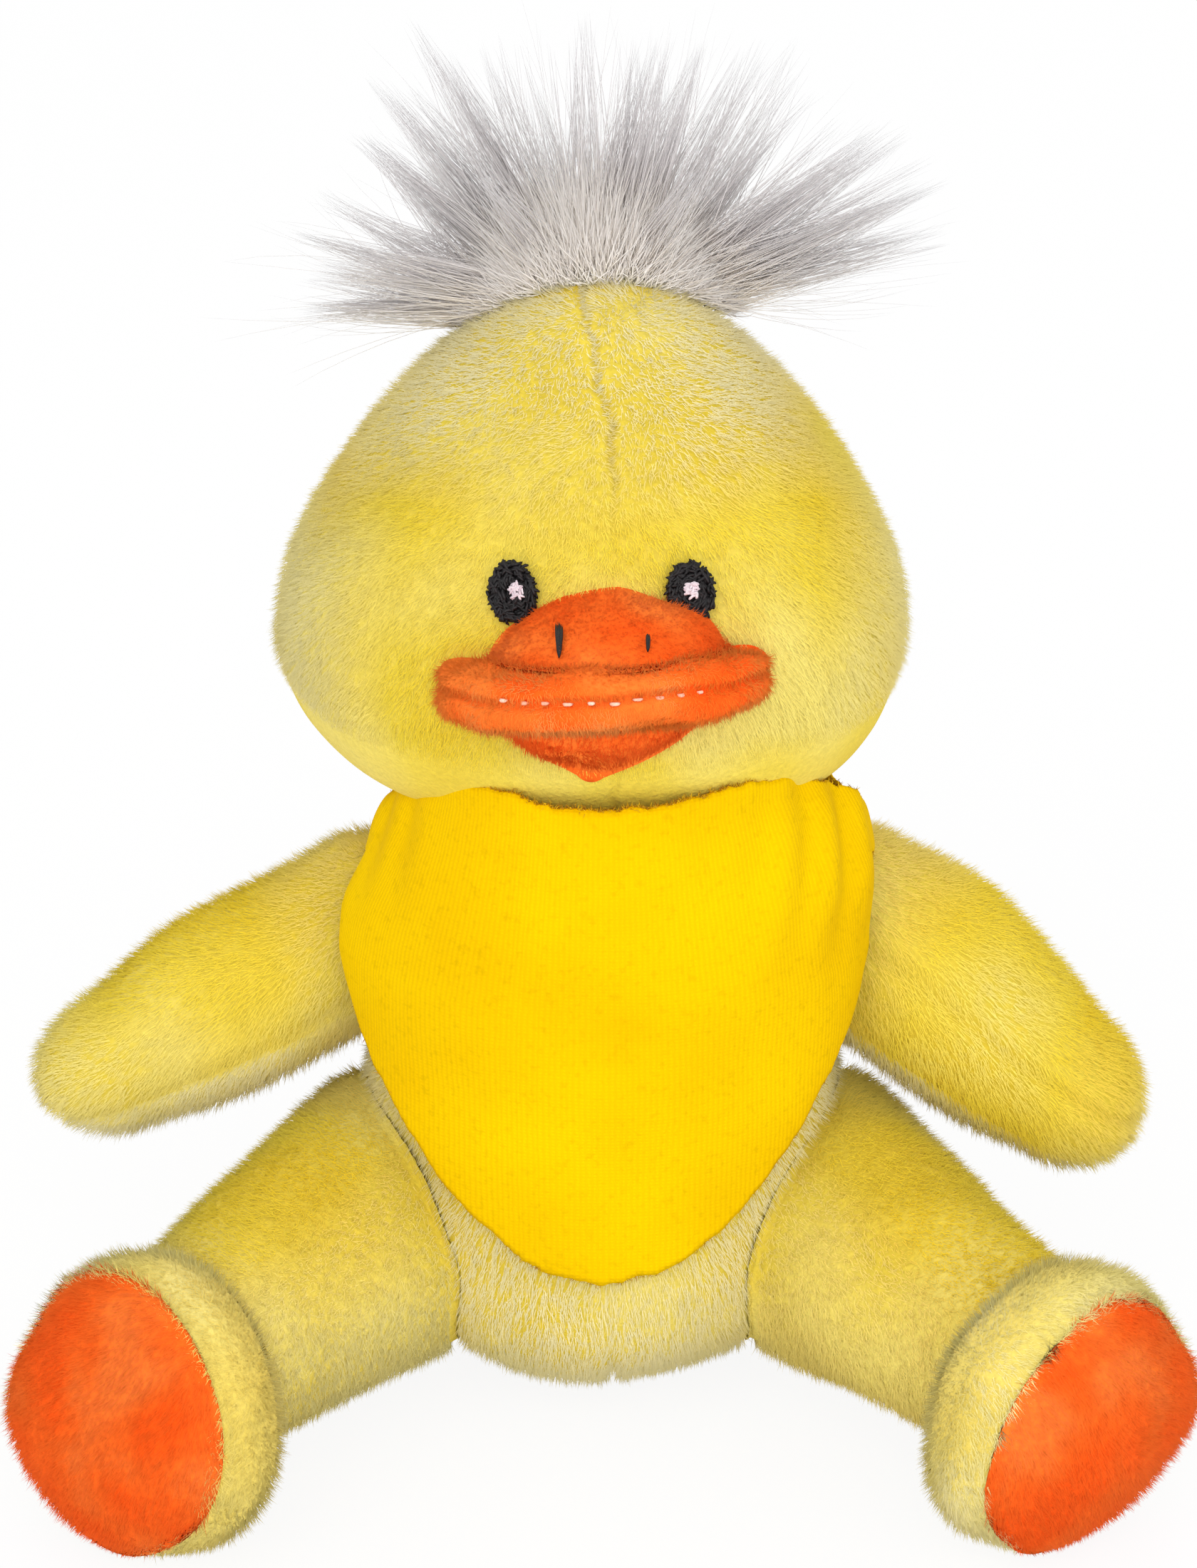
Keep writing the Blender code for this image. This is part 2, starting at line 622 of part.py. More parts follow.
def build_leg(pivot, side, floor):
    place = foot_place(pivot, side)
    room = foot_form("foot_room", CLEARANCE, LIMB_SIDES, FILL_RINGS)
    foot_room = cutter("foot_room_" + side, room, pivot, place)
    outer = limb_form("leg_outer", LEG_RADIUS, LEG_LENGTH, LEG_TAPER_SHARES, 0)
    lining, fill = limb_linings("leg", LEG_RADIUS, LEG_LENGTH, LEG_TAPER_SHARES)
    inner = cutter("leg_lining_" + side, lining, pivot)
    root = half_space("leg_root_" + side, pivot, (0, 0, -LEG_RADIUS * ROOT_OPEN_SHARE), (0, 0, -1))
    cut(piece("leg_%s_skin" % side, outer, pivot, "yellow_plush"), inner, root, foot_room, floor)
    cut(piece("leg_%s_stuffing" % side, fill, pivot, "fibre"), foot_room)

    foot = foot_form("foot_outer", 0, LIMB_SIDES, FILL_RINGS)
    lining_mesh = foot_form("foot_lining", -FABRIC, LIMB_SIDES, FILL_RINGS)
    lining = cutter("foot_lining_" + side, lining_mesh, pivot, place)
    seam = place @ Vector((0, 0, SOLE_SEAM))
    along = place.to_3x3() @ Vector((0, 0, 1))
    ahead = half_space("foot_ahead_" + side, pivot, seam - along * SEAM_GAP / 2, along)
    behind = half_space("foot_behind_" + side, pivot, seam + along * SEAM_GAP / 2, -along)
    cut(piece("foot_%s_upper" % side, foot, pivot, "pale_plush", place), lining, ahead, floor)
    cut(piece("foot_%s_sole" % side, foot, pivot, "orange_plush", place), lining, behind, floor)
    fill = foot_form("foot_fill", -FABRIC - CLEARANCE, LIMB_SIDES, FILL_RINGS)
    piece("foot_%s_stuffing" % side, fill, pivot, "fibre", place)


def bandana_point(azimuth, level_share):
    """A point of the bandana's inner face: azimuth from the front, level from the top edge down to the hem."""
    behind_share = (1 - math.cos(azimuth)) / 2
    top = BANDANA_TOP_FRONT + (BANDANA_TOP_BACK - BANDANA_TOP_FRONT) * table_value(behind_share, BANDANA_FALL_SHARES)
    front_share = abs(azimuth) / BANDANA_FRONT_ARC
    drop = BANDANA_BAND
    if front_share < 1:
        drop = (BANDANA_TOP_FRONT - BANDANA_TIP) * table_value(front_share, BANDANA_DROP_SHARES)
    height = top - drop * level_share
    down_share = (BANDANA_TOP_FRONT - height) / (BANDANA_TOP_FRONT - BANDANA_TIP)
    belly_y = TORSO_RADIUS + 2 * CLEARANCE
    front_y = BANDANA_FRONT_Y + (belly_y - BANDANA_FRONT_Y) * down_share
    side_x = BANDANA_SIDE_TOP + (BANDANA_SIDE_LOW - BANDANA_SIDE_TOP) * min(down_share / BANDANA_FLARE_SHARE, 1)
    side_x += (BANDANA_BACK_R - side_x) * table_value(behind_share, BANDANA_TUCK_SHARES)
    reach_y = front_y + (BANDANA_BACK_R - front_y) * behind_share
    fold = FOLD_DEPTH * math.cos(FOLD_COUNT * azimuth) * (1 - down_share) * math.sin(abs(azimuth)) ** 2
    lap = 0
    if azimuth > math.pi - BANDANA_LAP:
        lap = BANDANA_CLOTH + 2 * CLEARANCE
    reach = fold + lap
    return Vector(((side_x + reach) * math.sin(azimuth), -(reach_y + reach) * math.cos(azimuth), height))


def build_bandana(ground):
    """A sheet round the neck: deep in front, a band behind, with its ends lapped at the nape."""
    bm = bmesh.new()
    start = -math.pi - BANDANA_LAP / 2
    sweep = math.tau + BANDANA_LAP
    grid = []
    for column in range(BANDANA_COLUMNS + 1):
        azimuth = start + sweep * column / BANDANA_COLUMNS
        grid.append([bm.verts.new(bandana_point(azimuth, row / BANDANA_ROWS)) for row in range(BANDANA_ROWS + 1)])
    for first, second in zip(grid, grid[1:]):
        for row in range(BANDANA_ROWS):
            bm.faces.new((first[row], first[row + 1], second[row + 1], second[row]))
    bmesh.ops.recalc_face_normals(bm, faces=bm.faces)
    outward = bandana_point(0, 0)
    bm.faces.ensure_lookup_table()
    if bm.faces[len(bm.faces) // 2].normal.dot(outward) < 0:
        bmesh.ops.reverse_faces(bm, faces=bm.faces)
    mesh = bpy.data.meshes.new("bandana")
    bm.to_mesh(mesh)
    bm.free()
    mesh.shade_smooth()
    sheet = piece("bandana", mesh, ground, "bandana_knit")
    thicken = sheet.modifiers.new("cloth", "SOLIDIFY")
    thicken.thickness = BANDANA_CLOTH
    thicken.offset = 1
    thicken.use_even_offset = True

    thread = ball_form("tack", TACK_LENGTH, TACK_WIDTH, TACK_WIDTH, THREAD_SIDES, THREAD_RINGS)
    spot = bandana_point(math.pi, MIDDLE_SHARE)
    spot.y += BANDANA_CLOTH + CLEARANCE + TACK_WIDTH / 2
    piece("bandana_tack_stitch", thread, ground, "pale_thread", Matrix.Translation(spot))


def main():
    clear_scene()
    ground = frame_empty("torso_frame", Matrix.Identity(4))
    floor = half_space("floor_cut", ground, (0, 0, 0), (0, 0, -1))
    pivots = limb_frames(ground)
    sweeps = []
    for side in ("left", "right"):
        sweeps.append(swing_cutter("arm_%s_sweep" % side, pivots["arm_" + side], ARM_RADIUS, ARM_LENGTH,
                                   ARM_TAPER_SHARES, -ARM_LOWER, ARM_RAISE))
        sweeps.append(swing_cutter("leg_%s_sweep" % side, pivots["leg_" + side], LEG_RADIUS, LEG_LENGTH,
                                   LEG_TAPER_SHARES, -LEG_CLOSE, LEG_OPEN))
    build_torso(ground, sweeps, floor)

    neck = frame_empty("neck_pivot", Matrix.Translation((0, 0, NECK_Z)), ground)
    lift = Matrix.Translation((0, HEAD_Y, HEAD_HEIGHT / 2))
    head = frame_empty("head_frame", lift @ Matrix.Rotation(-HEAD_LEAN, 4, "X"), neck)
    socket_mesh = torso_form("neck_socket", running_gap(TORSO_RADIUS, HEAD_SIDES))
    neck_socket = cutter("neck_socket", socket_mesh, ground, torso_place())
    face = cutter("face_room", head_form("face_room", CLEARANCE), head)
    build_head(head, neck_socket)
    build_bill(head, face)
    build_topstitch(head)
    build_eyes(head)
    build_tuft(head, face)
    for side in ("left", "right"):
        build_nostril(head, side)
        build_arm(pivots["arm_" + side], side)
        build_leg(pivots["leg_" + side], side, floor)
    build_bandana(ground)


main()
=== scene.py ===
"""Looks of the seated plush duck: short pile, long tuft, stitched face and knit bandana."""
import math

import bpy
import numpy as np
from mathutils import Matrix, Vector


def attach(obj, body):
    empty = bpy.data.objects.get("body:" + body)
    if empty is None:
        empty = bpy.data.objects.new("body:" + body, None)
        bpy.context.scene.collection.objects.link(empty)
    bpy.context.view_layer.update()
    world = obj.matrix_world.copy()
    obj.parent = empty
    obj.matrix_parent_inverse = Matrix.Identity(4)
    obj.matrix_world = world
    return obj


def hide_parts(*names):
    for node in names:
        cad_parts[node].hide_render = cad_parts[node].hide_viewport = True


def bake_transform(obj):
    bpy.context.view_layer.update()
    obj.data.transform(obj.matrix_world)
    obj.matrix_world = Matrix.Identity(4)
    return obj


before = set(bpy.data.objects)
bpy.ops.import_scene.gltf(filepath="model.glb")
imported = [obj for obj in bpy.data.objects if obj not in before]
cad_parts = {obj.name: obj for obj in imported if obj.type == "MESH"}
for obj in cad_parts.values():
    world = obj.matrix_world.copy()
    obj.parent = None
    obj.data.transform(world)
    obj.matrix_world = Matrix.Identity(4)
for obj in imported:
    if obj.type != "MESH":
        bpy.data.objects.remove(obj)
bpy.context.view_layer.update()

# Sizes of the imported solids, in metres
TORSO_HEIGHT, TORSO_RADIUS, SEAT_CUT = 0.0875, 0.0325, 0.0005
TORSO_GIRTHS = ((0.04, 0.46), (0.14, 0.85), (0.33, 1.0), (0.52, 0.955), (0.69, 0.83), (0.83, 0.68),
                (0.92, 0.49))
HEAD_WIDTH, HEAD_DEPTH, HEAD_HEIGHT = 0.0808, 0.0765, 0.0735
HEAD_CENTRE, HEAD_LEAN = Vector((0, 0.002, 0.1147)), math.radians(8)
HEAD_GIRTHS = ((0.06, 0.56), (0.13, 0.79), (0.2, 0.91), (0.29, 0.985), (0.38, 1.0), (0.48, 0.97),
               (0.62, 0.85), (0.78, 0.64), (0.9, 0.42))
BILL_Y, BILL_Z = 0.004 - HEAD_DEPTH / 2, -0.0058
LIP_WIDTH, LIP_DEPTH, LIP_HEIGHT = 0.0415, 0.0405, 0.0090
DOME_HEIGHT = 0.0198
JAW_WIDTH, JAW_DEPTH, JAW_HEIGHT, JAW_Y = 0.028, 0.027, 0.0295, 0.005 - HEAD_DEPTH / 2
EYE_X, EYE_Z, EYE_WIDTH, EYE_HEIGHT = 0.0109, 0.0041, 0.0060, 0.0072
SHOULDER, ARM_LENGTH, ARM_RADIUS = Vector((0.030, 0.002, 0.061)), 0.050, 0.0126
ARM_TAPER = ((0.15, 1.0), (0.35, 0.97), (0.55, 0.91), (0.75, 0.8))
ARM_FORWARD = math.radians(11)
ARM_DROOP = {"left": math.radians(33), "right": math.radians(23)}
ARM_SEAM = {"left": 0.0030, "right": -0.0030}
ARM_PALE = {"left": -0.0055, "right": -0.0040}
HIP, LEG_LENGTH, LEG_RADIUS = Vector((0.025, -0.004, 0.0240)), 0.053, 0.0190
LEG_TAPER = ((0.15, 0.97), (0.4, 0.87), (0.65, 0.76), (0.85, 0.71))
ARM, LEG = (ARM_RADIUS, ARM_LENGTH, ARM_TAPER), (LEG_RADIUS, LEG_LENGTH, LEG_TAPER)
LEG_SPLAY, LEG_DROOP = math.radians(36), math.radians(3)
FOOT_RADIUS, FOOT_DEPTH, FOOT_REACH = 0.0197, 0.0250, 0.0550
FOOT_TURN, FOOT_TILT = math.radians(7.5), {"left": math.radians(-9), "right": math.radians(9)}
FOOT_GIRTHS = ((0.07, 0.62), (0.2, 0.88), (0.4, 1.0), (0.6, 1.0), (0.75, 0.945), (0.88, 0.74), (0.95, 0.5))
SOLE_SEAM = 0.0050

# How far the cloth lies under the ends of its pile
INSET = 0.0010
BILL_INSET = 0.0005
GAP = 0.0003

# How far the stitched eyes sit below their solids, and the skins' lowest level
EYE_DROP = 0.0008
FLOOR = 0.0001

# Pile: a strand's width, the usual number to a square metre and the level under which none grows
PILE_WIDTH, STRANDS_PER_M2, PILE_FLOOR = 0.00013, 6.0e6, 0.0008

SIGN = {"left": 1, "right": -1}


# Numbers

def smooth(x, rows):
    """A table read by a smooth curve that keeps to its rows."""
    xs, ys = (np.array(c, float) for c in zip(*rows))
    step = np.diff(xs)
    slope = np.diff(ys) / step
    lean = np.zeros(len(xs))
    both = slope[:-1] * slope[1:] > 0
    lean[1:-1][both] = 2 * slope[:-1][both] * slope[1:][both] / (slope[:-1] + slope[1:])[both]
    lean[0], lean[-1] = slope[0], slope[-1]
    x = np.clip(x, xs[0], xs[-1])
    at = np.clip(np.searchsorted(xs, x, side="right") - 1, 0, len(step) - 1)
    t = (x - xs[at]) / step[at]
    return (ys[at] * (1 + 2 * t) * (1 - t) ** 2 + ys[at + 1] * t * t * (3 - 2 * t)
            + step[at] * (lean[at] * t * (1 - t) ** 2 - lean[at + 1] * t * t * (1 - t)))


def girth(share, rows):
    """Girth of a stuffed form at a share of its height, round at both ends."""
    swell = [(row, value / (2 * math.sqrt(row * (1 - row)))) for row, value in rows]
    return smooth(share, swell) * 2 * np.sqrt(np.clip(share * (1 - share), 0, None))


def waves(points, size, seed):
    """Smooth lumps of about a size, from -1 to 1."""
    rng = np.random.default_rng(seed)
    total = np.zeros(len(points))
    for _ in range(8):
        way = rng.normal(size=3)
        way *= math.tau * rng.uniform(0.6, 1.6) / size / np.linalg.norm(way)
        total += np.sin(points @ way + rng.uniform(0, math.tau))
    return total / 4


def unit(vectors):
    return vectors / np.maximum(np.linalg.norm(vectors, axis=-1, keepdims=True), 1e-12)


def to_world(points, matrix):
    m = np.array(matrix)
    return points @ m[:3, :3].T + m[:3, 3]


def to_local(points, matrix):
    return to_world(points, matrix.inverted())


# Frames of the parts

def limb_frame(pivot, sign, along, hinge):
    across = hinge.cross(along)
    turn = Matrix((across, hinge, along)).transposed().to_4x4()
    return Matrix.Translation((sign * pivot.x, pivot.y, pivot.z)) @ turn


def frames():
    """Head, arms, legs and feet: Z along the part."""
    found = {"head": Matrix.Translation(HEAD_CENTRE) @ Matrix.Rotation(-HEAD_LEAN, 4, "X")}
    up = Vector((0, 0, 1))
    for side, sign in SIGN.items():
        droop = ARM_DROOP[side]
        forward = Vector((sign * math.cos(ARM_FORWARD), -math.sin(ARM_FORWARD), 0))
        along = forward * math.cos(droop) - up * math.sin(droop)
        found["arm_" + side] = limb_frame(SHOULDER, sign, along, (-up).cross(forward))
        outward = Vector((sign * math.sin(LEG_SPLAY), -math.cos(LEG_SPLAY), 0))
        along = outward * math.cos(LEG_DROOP) - up * math.sin(LEG_DROOP)
        hinge = outward.cross(up * sign).cross(along).normalized()
        found["leg_" + side] = limb_frame(HIP, sign, along, hinge)
        centre = Vector((sign * HIP.x, HIP.y, FOOT_RADIUS - SEAT_CUT)) + outward * FOOT_REACH
        facing = Matrix.Rotation(sign * FOOT_TURN, 3, "Z") @ outward
        along = facing * math.cos(FOOT_TILT[side]) + up * math.sin(FOOT_TILT[side])
        across = up.cross(facing)
        turn = Matrix((across, along.cross(across), along)).transposed().to_4x4()
        found["foot_" + side] = Matrix.Translation(centre) @ turn
    return found


FRAMES = frames()


def along_of(part):
    """A part's own Z in the world."""
    return np.array(FRAMES[part].to_3x3() @ Vector((0, 0, 1)))


# Forms

def torso_radius(z, grow=0.0):
    share = (z + SEAT_CUT + grow) / (TORSO_HEIGHT + 2 * grow)
    return (TORSO_RADIUS + grow) * girth(np.clip(share, 0, 1), TORSO_GIRTHS)


def torso_depth(points, grow=0.0):
    """Above zero inside the torso."""
    return torso_radius(points[:, 2], grow) - np.hypot(points[:, 0], points[:, 1])


def head_front(x, z, grow=0.0):
    """Y of the front of the head, in the head's frame."""
    share = np.clip(z / (HEAD_HEIGHT + 2 * grow) + 0.5, 0, 1)
    wide = (x / (HEAD_WIDTH / 2 + grow)) ** 2
    return -(HEAD_DEPTH / 2 + grow) * np.sqrt(np.clip(girth(share, HEAD_GIRTHS) ** 2 - wide, 0, None))


def head_depth(points, grow=0.0):
    """Above zero inside the head, in its frame."""
    share = np.clip(points[:, 2] / (HEAD_HEIGHT + 2 * grow) + 0.5, 0, 1)
    reach = np.hypot(points[:, 0], points[:, 1] * HEAD_WIDTH / HEAD_DEPTH)
    return (HEAD_WIDTH / 2 + grow) * girth(share, HEAD_GIRTHS) - reach


def limb_profile(sizes, grow):
    """Rows of (level, radius) along a limb, from its ball root to its round tip."""
    radius, length, taper = sizes
    ball = radius + grow
    rows = [(-ball * math.cos(turn), ball * math.sin(turn)) for turn in np.linspace(0, math.pi / 2, 9)]
    rows += [(length * share, radius * value + grow) for share, value in taper]
    last, value = taper[-1]
    tip = length * (1 - last) + grow
    for turn in np.linspace(0, math.pi / 2, 9)[1:]:
        rows.append((length * last + tip * math.sin(turn), (radius * value + grow) * math.cos(turn) ** 0.9))
    return rows


def limb_depth(points, part, grow=0.0):
    """Above zero inside a limb."""
    rows = limb_profile(ARM if part.startswith("arm") else LEG, grow)
    local = to_local(points, FRAMES[part])
    inside = (local[:, 2] > rows[0][0]) & (local[:, 2] < rows[-1][0])
    return np.where(inside, np.interp(local[:, 2], *zip(*rows)) - np.hypot(local[:, 0], local[:, 1]), -1.0)


def foot_depth(points, part, grow=0.0):
    local = to_local(points, FRAMES[part])
    share = local[:, 2] / (FOOT_DEPTH + 2 * grow) + 0.5
    reach = (FOOT_RADIUS + grow) * girth(np.clip(share, 0, 1), FOOT_GIRTHS)
    return np.where((share > 0) & (share < 1), reach - np.hypot(local[:, 0], local[:, 1]), -1.0)


# How far points slide at a time, and how often at most
SLIDE, MOST_SLIDES = 0.0002, 260


def slide_out(points, way, depth):
    """Points inside a form move one way until they are out of it."""
    points = points.copy()
    way = np.array(way, float)
    left = np.flatnonzero(depth(points) > 0)
    for _ in range(MOST_SLIDES):
        if not len(left):
            break
        points[left] += way * SLIDE
        left = left[depth(points[left]) > 0]
    return points


def lathe(rows, columns, close=0.0):
    """Points of a closed form, pole first and last: rows of (level, half width, half depth)."""
    turn = np.linspace(-math.pi, math.pi, columns, endpoint=False)
    angle = turn - close * np.sin(turn) - math.pi / 2
    level, wide, deep = np.array(rows[1:-1], float).T
    ring = np.stack([wide[:, None] * np.cos(angle), deep[:, None] * np.sin(angle),
                     np.repeat(level[:, None], columns, 1)], -1).reshape(-1, 3)
    return np.vstack([[0, 0, rows[0][0]], ring, [0, 0, rows[-1][0]]])


def lathe_faces(rings, columns):
    faces = []
    last = rings * columns + 1
    for c in range(columns):
        d = (c + 1) % columns
        faces.append((0, 1 + d, 1 + c))
        for r in range(rings - 1):
            a = 1 + r * columns
            faces.append((a + c, a + d, a + columns + d, a + columns + c))
        a = 1 + (rings - 1) * columns
        faces.append((a + c, a + d, last))
    return faces


def stuffed_rows(width, depth, height, girths, grow, rings):
    share = (1 - np.cos(np.linspace(0, math.pi, rings + 1))) / 2
    level = (height / 2 + grow) * (2 * share - 1)
    value = girth(share, girths)
    return np.stack([level, (width / 2 + grow) * value, (depth / 2 + grow) * value], 1)


def even_rows(rows, rings):
    """The same outline with its rows evenly spaced along it."""
    rows = np.array(rows, float)
    far = np.concatenate([[0], np.cumsum(np.hypot(*np.diff(rows, axis=0).T))])
    at = np.linspace(0, far[-1], rings + 1)
    level = smooth(at, list(zip(far, rows[:, 0])))
    wide = np.clip(smooth(at, list(zip(far, rows[:, 1]))), 0, None)
    return np.stack([level, wide, wide], 1)


def make_mesh(name, points, faces, materials):
    mesh = bpy.data.meshes.new(name)
    mesh.from_pydata([tuple(p) for p in points], [], faces)
    mesh.shade_smooth()
    for material in materials:
        mesh.materials.append(material)
    mesh.update()
    return mesh


def read(items, key):
    out = np.zeros(len(items) * 3, np.float32)
    items.foreach_get(key, out)
    return out.reshape(-1, 3).astype(float)


def lathed(name, rows, columns, materials, close=0.0, lift=0.0):
    """A mesh turned from rows, with its points and normals before any push."""
    points = lathe(rows, columns, close)
    points[:, 2] += lift
    mesh = make_mesh(name, points, lathe_faces(len(rows) - 2, columns), materials)
    return mesh, points, read(mesh.vertex_normals, "vector")


def set_vertices(mesh, points):
    mesh.vertices.foreach_set("co", points.astype(np.float32).ravel())
    mesh.update()


def add(name, data):
    item = bpy.data.objects.new(name, data)
    bpy.context.scene.collection.objects.link(item)
    return item


def carry(item, body, joint=None):
    """A piece on its body; with a joint given, its place is baked in and it stays on no body."""
    if joint:
        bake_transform(item)
    else:
        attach(item, body)
    return item


def stuffed(mesh, nodes, body, joint=None):
    """A stuffed piece that shows in place of its solids."""
    item = add(mesh.name, mesh)
    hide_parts(*nodes)
    return carry(item, body, joint)


# Width and depth of the groove at each seam
SEAM_GROOVES = {"torso_front": (0.0009, 0.0008), "torso_side": (0.0012, 0.0005),
                "head_front": (0.0006, 0.0010), "head_side": (0.0012, 0.0008), "sole": (0.0010, 0.0002)}

# Height, size and random seed of each form's soft lumps
LUMPS = {"torso": (0.0005, 0.030, 11), "head": (0.0006, 0.034, 5), "arm": (0.0005, 0.022, 21),
         "leg": (0.0007, 0.026, 31), "foot": (0.0006, 0.022, 41), "lip": (0.0004, 0.012, 51),
         "dome": (0.0003, 0.012, 61), "jaw": (0.0004, 0.014, 71)}


def groove(distance, width, depth):
    return -depth * np.exp(-(distance / width) ** 2)


def lumps(form, points, other=0):
    height, size, seed = LUMPS[form]
    return height * waves(points, size, seed + other)


# Materials

def colour(text):
    """A written colour as linear light."""
    parts = [int(text[i:i + 2], 16) / 255 for i in (0, 2, 4)]
    return tuple(p / 12.92 if p <= 0.04045 else ((p + 0.055) / 1.055) ** 2.4 for p in parts) + (1.0,)


def new_node(tree, kind, *sources, **values):
    """A node with its settings, its first inputs linked to sources in order."""
    item = tree.nodes.new("ShaderNode" + kind)
    for key, value in values.items():
        if hasattr(item, key):
            setattr(item, key, value)
        else:
            item.inputs[key.replace("_", " ")].default_value = value
    for source, socket in zip(sources, item.inputs):
        tree.links.new(source, socket)
    return item


class Build:
    """A material's nodes, by short calls."""

    def __init__(self, name, roughness, sheen=0.0, sheen_roughness=0.5, tint="ffffff", specular=0.3):
        self.material = bpy.data.materials.new(name)
        self.material.use_nodes = True
        self.tree = self.material.node_tree
        self.shader = self.tree.nodes["Principled BSDF"]
        for socket, value in (("Roughness", roughness), ("Sheen Weight", sheen),
                              ("Sheen Roughness", sheen_roughness), ("Sheen Tint", colour(tint)),
                              ("Specular IOR Level", specular)):
            self.shader.inputs[socket].default_value = value

    def node(self, kind, *sources, **values):
        return new_node(self.tree, kind, *sources, **values)

    def link(self, source, target):
        self.tree.links.new(source, target)

    def place(self):
        return self.node("TexCoord").outputs["Object"]

    def attribute(self, name):
        return self.node("Attribute", attribute_name=name)

    def noise(self, scale, detail=2.0, place=None):
        return self.node("TexNoise", place or self.place(), Scale=scale, Detail=detail).outputs["Fac"]

    def ramp(self, source, *stops):
        item = self.node("ValToRGB")
        ramp = item.color_ramp
        while len(ramp.elements) < len(stops):
            ramp.elements.new(0.5)
        for element, (at, value) in zip(ramp.elements, stops):
            element.position = at
            element.color = colour(value) if isinstance(value, str) else (value, value, value, 1)
        self.link(source, item.inputs["Fac"])
        return item.outputs["Color"]

    def mix(self, kind, factor, first, second):
        item = self.node("MixRGB", blend_type=kind)
        for socket, value in zip(("Fac", "Color1", "Color2"), (factor, first, second)):
            if isinstance(value, (int, float, tuple)):
                item.inputs[socket].default_value = value
            else:
                self.link(value, item.inputs[socket])
        return item.outputs["Color"]

    def bump(self, source, strength, distance):
        item = self.node("Bump", Strength=strength, Distance=distance)
        self.link(source, item.inputs["Height"])
        self.link(item.outputs["Normal"], self.shader.inputs["Normal"])

    def paint(self, source):
        self.link(source, self.shader.inputs["Base Color"])
        return self.material


def plush_tone(b, deep, main, pale, patch, seed):
    """Broad soft patches of three close colours."""
    place = b.node("Mapping", b.place(), Location=(seed, seed, 0))
    patches = b.noise(patch, 1.5, place.outputs["Vector"])
    return b.ramp(patches, (0.36, deep), (0.5, main), (0.64, pale))


def plush_skin(name, deep, main, pale, patch=30.0, seed=0.0):
    """The backing cloth, seen between the strands."""
    b = Build(name, 0.95, sheen=0.35, sheen_roughness=0.5, tint=pale, specular=0.1)
    tone = plush_tone(b, deep, main, pale, patch, seed)
    fine = b.ramp(b.noise(1400, 3.0), (0.3, 0.86), (0.7, 1.0))
    b.bump(b.noise(1700, 4.0), 0.6, 0.0005)
    return b.paint(b.mix("MULTIPLY", 1.0, tone, fine))


def plush_pile(name, deep, main, pale, patch=30.0, seed=0.0, sheen=0.24):
    """Strands that are cream where their share of pale tone and painted sheen is high, a little darker at the
    root.
    """
    b = Build(name, 0.85, sheen=sheen, sheen_roughness=0.45, tint=pale, specular=0.12)
    tone = plush_tone(b, deep, main, pale, patch, seed)
    tone = b.mix("MIX", b.attribute("pale_tone_and_sheen").outputs["Fac"], tone, colour(CREAM))
    # Painted shade: each strand is a little darker toward its root, deep in the pile; the random shade per
    # strand is tone
    for key, middle in (("along", 0.5), ("shade", 0.4)):
        level = b.ramp(b.attribute(key).outputs["Fac"], (0.0, 0.95), (middle, 1.0), (1.0, 1.0))
        tone = b.mix("MULTIPLY", 1.0, tone, level)
    return b.paint(tone)


def thread(name, dark, light, roughness=0.55):
    b = Build(name, roughness, sheen=0.15, tint=light, specular=0.35)
    shade = b.ramp(b.attribute("shade").outputs["Fac"], (0.0, dark), (1.0, light))
    fine = b.ramp(b.noise(2600, 3.0), (0.3, 0.7), (0.7, 1.0))
    b.bump(b.noise(5200, 2.0), 0.4, 0.0002)
    return b.paint(b.mix("MULTIPLY", 1.0, shade, fine))


YELLOW = ("fedc34", "ffe448", "ffec80")
PALE = ("f8e076", "fae98c", "fcf0b4")
ORANGE = ("ff621a", "ff6c22", "ff7a34")
# Lit and shaded copies of the bill's orange: the lip's lighter tones are painted light on its rim, the jaw's
# darker tones painted shade under the lip
LIP_PAINTED_LIGHT_TONES = ("ff7824", "ff8432", "ff9448")
JAW_PAINTED_SHADE_TONES = ("fa5414", "fc5e1a", "fe6c28")
CREAM = "fcf0bc"


def fur(name, root, low, middle, tip):
    """Silky strands, cream at the root and grey toward the tip, that let some light through."""
    b = Build(name, 0.6, sheen=0.3, specular=0.5)
    for key, value in (("Weight", 0.5), ("Radius", (1, 1, 1)), ("Scale", 0.001)):
        b.shader.inputs["Subsurface " + key].default_value = value
    tone = b.ramp(b.attribute("along").outputs["Fac"],
                  (0.0, root), (0.22, low), (0.42, middle), (1.0, tip))
    shade = b.ramp(b.attribute("shade").outputs["Fac"], (0.0, 0.88), (0.5, 0.97), (1.0, 1.0))
    return b.paint(b.mix("MULTIPLY", 1.0, tone, shade))


def knit(name):
    """Thin rib knit, its ribs down the cloth."""
    b = Build(name, 0.9, sheen=0.04, sheen_roughness=0.5, tint="ffd840", specular=0.03)
    cloth = b.attribute("cloth").outputs["Vector"]
    rib, stitch = (b.node("TexWave", cloth, wave_type="BANDS", bands_direction=way, Scale=scale,
                          Distortion=bend, Detail=1.0).outputs["Color"]
                   for way, scale, bend in (("X", 520.0, 1.2), ("Y", 640.0, 2.0)))
    grain = b.mix("MULTIPLY", 0.6, rib, stitch)
    tone = b.ramp(b.noise(40, 3.0), (0.35, "e2b400"), (0.5, "e7bb00"), (0.68, "ecc200"))
    lines = b.ramp(grain, (0.0, 0.93), (0.6, 1.0))
    tone = b.mix("MULTIPLY", 1.0, tone, lines)
    flecks = b.ramp(b.noise(900, 2.0), (0.28, 0.9), (0.45, 1.0))
    b.bump(grain, 0.35, 0.0002)
    return b.paint(b.mix("MULTIPLY", 1.0, tone, flecks))


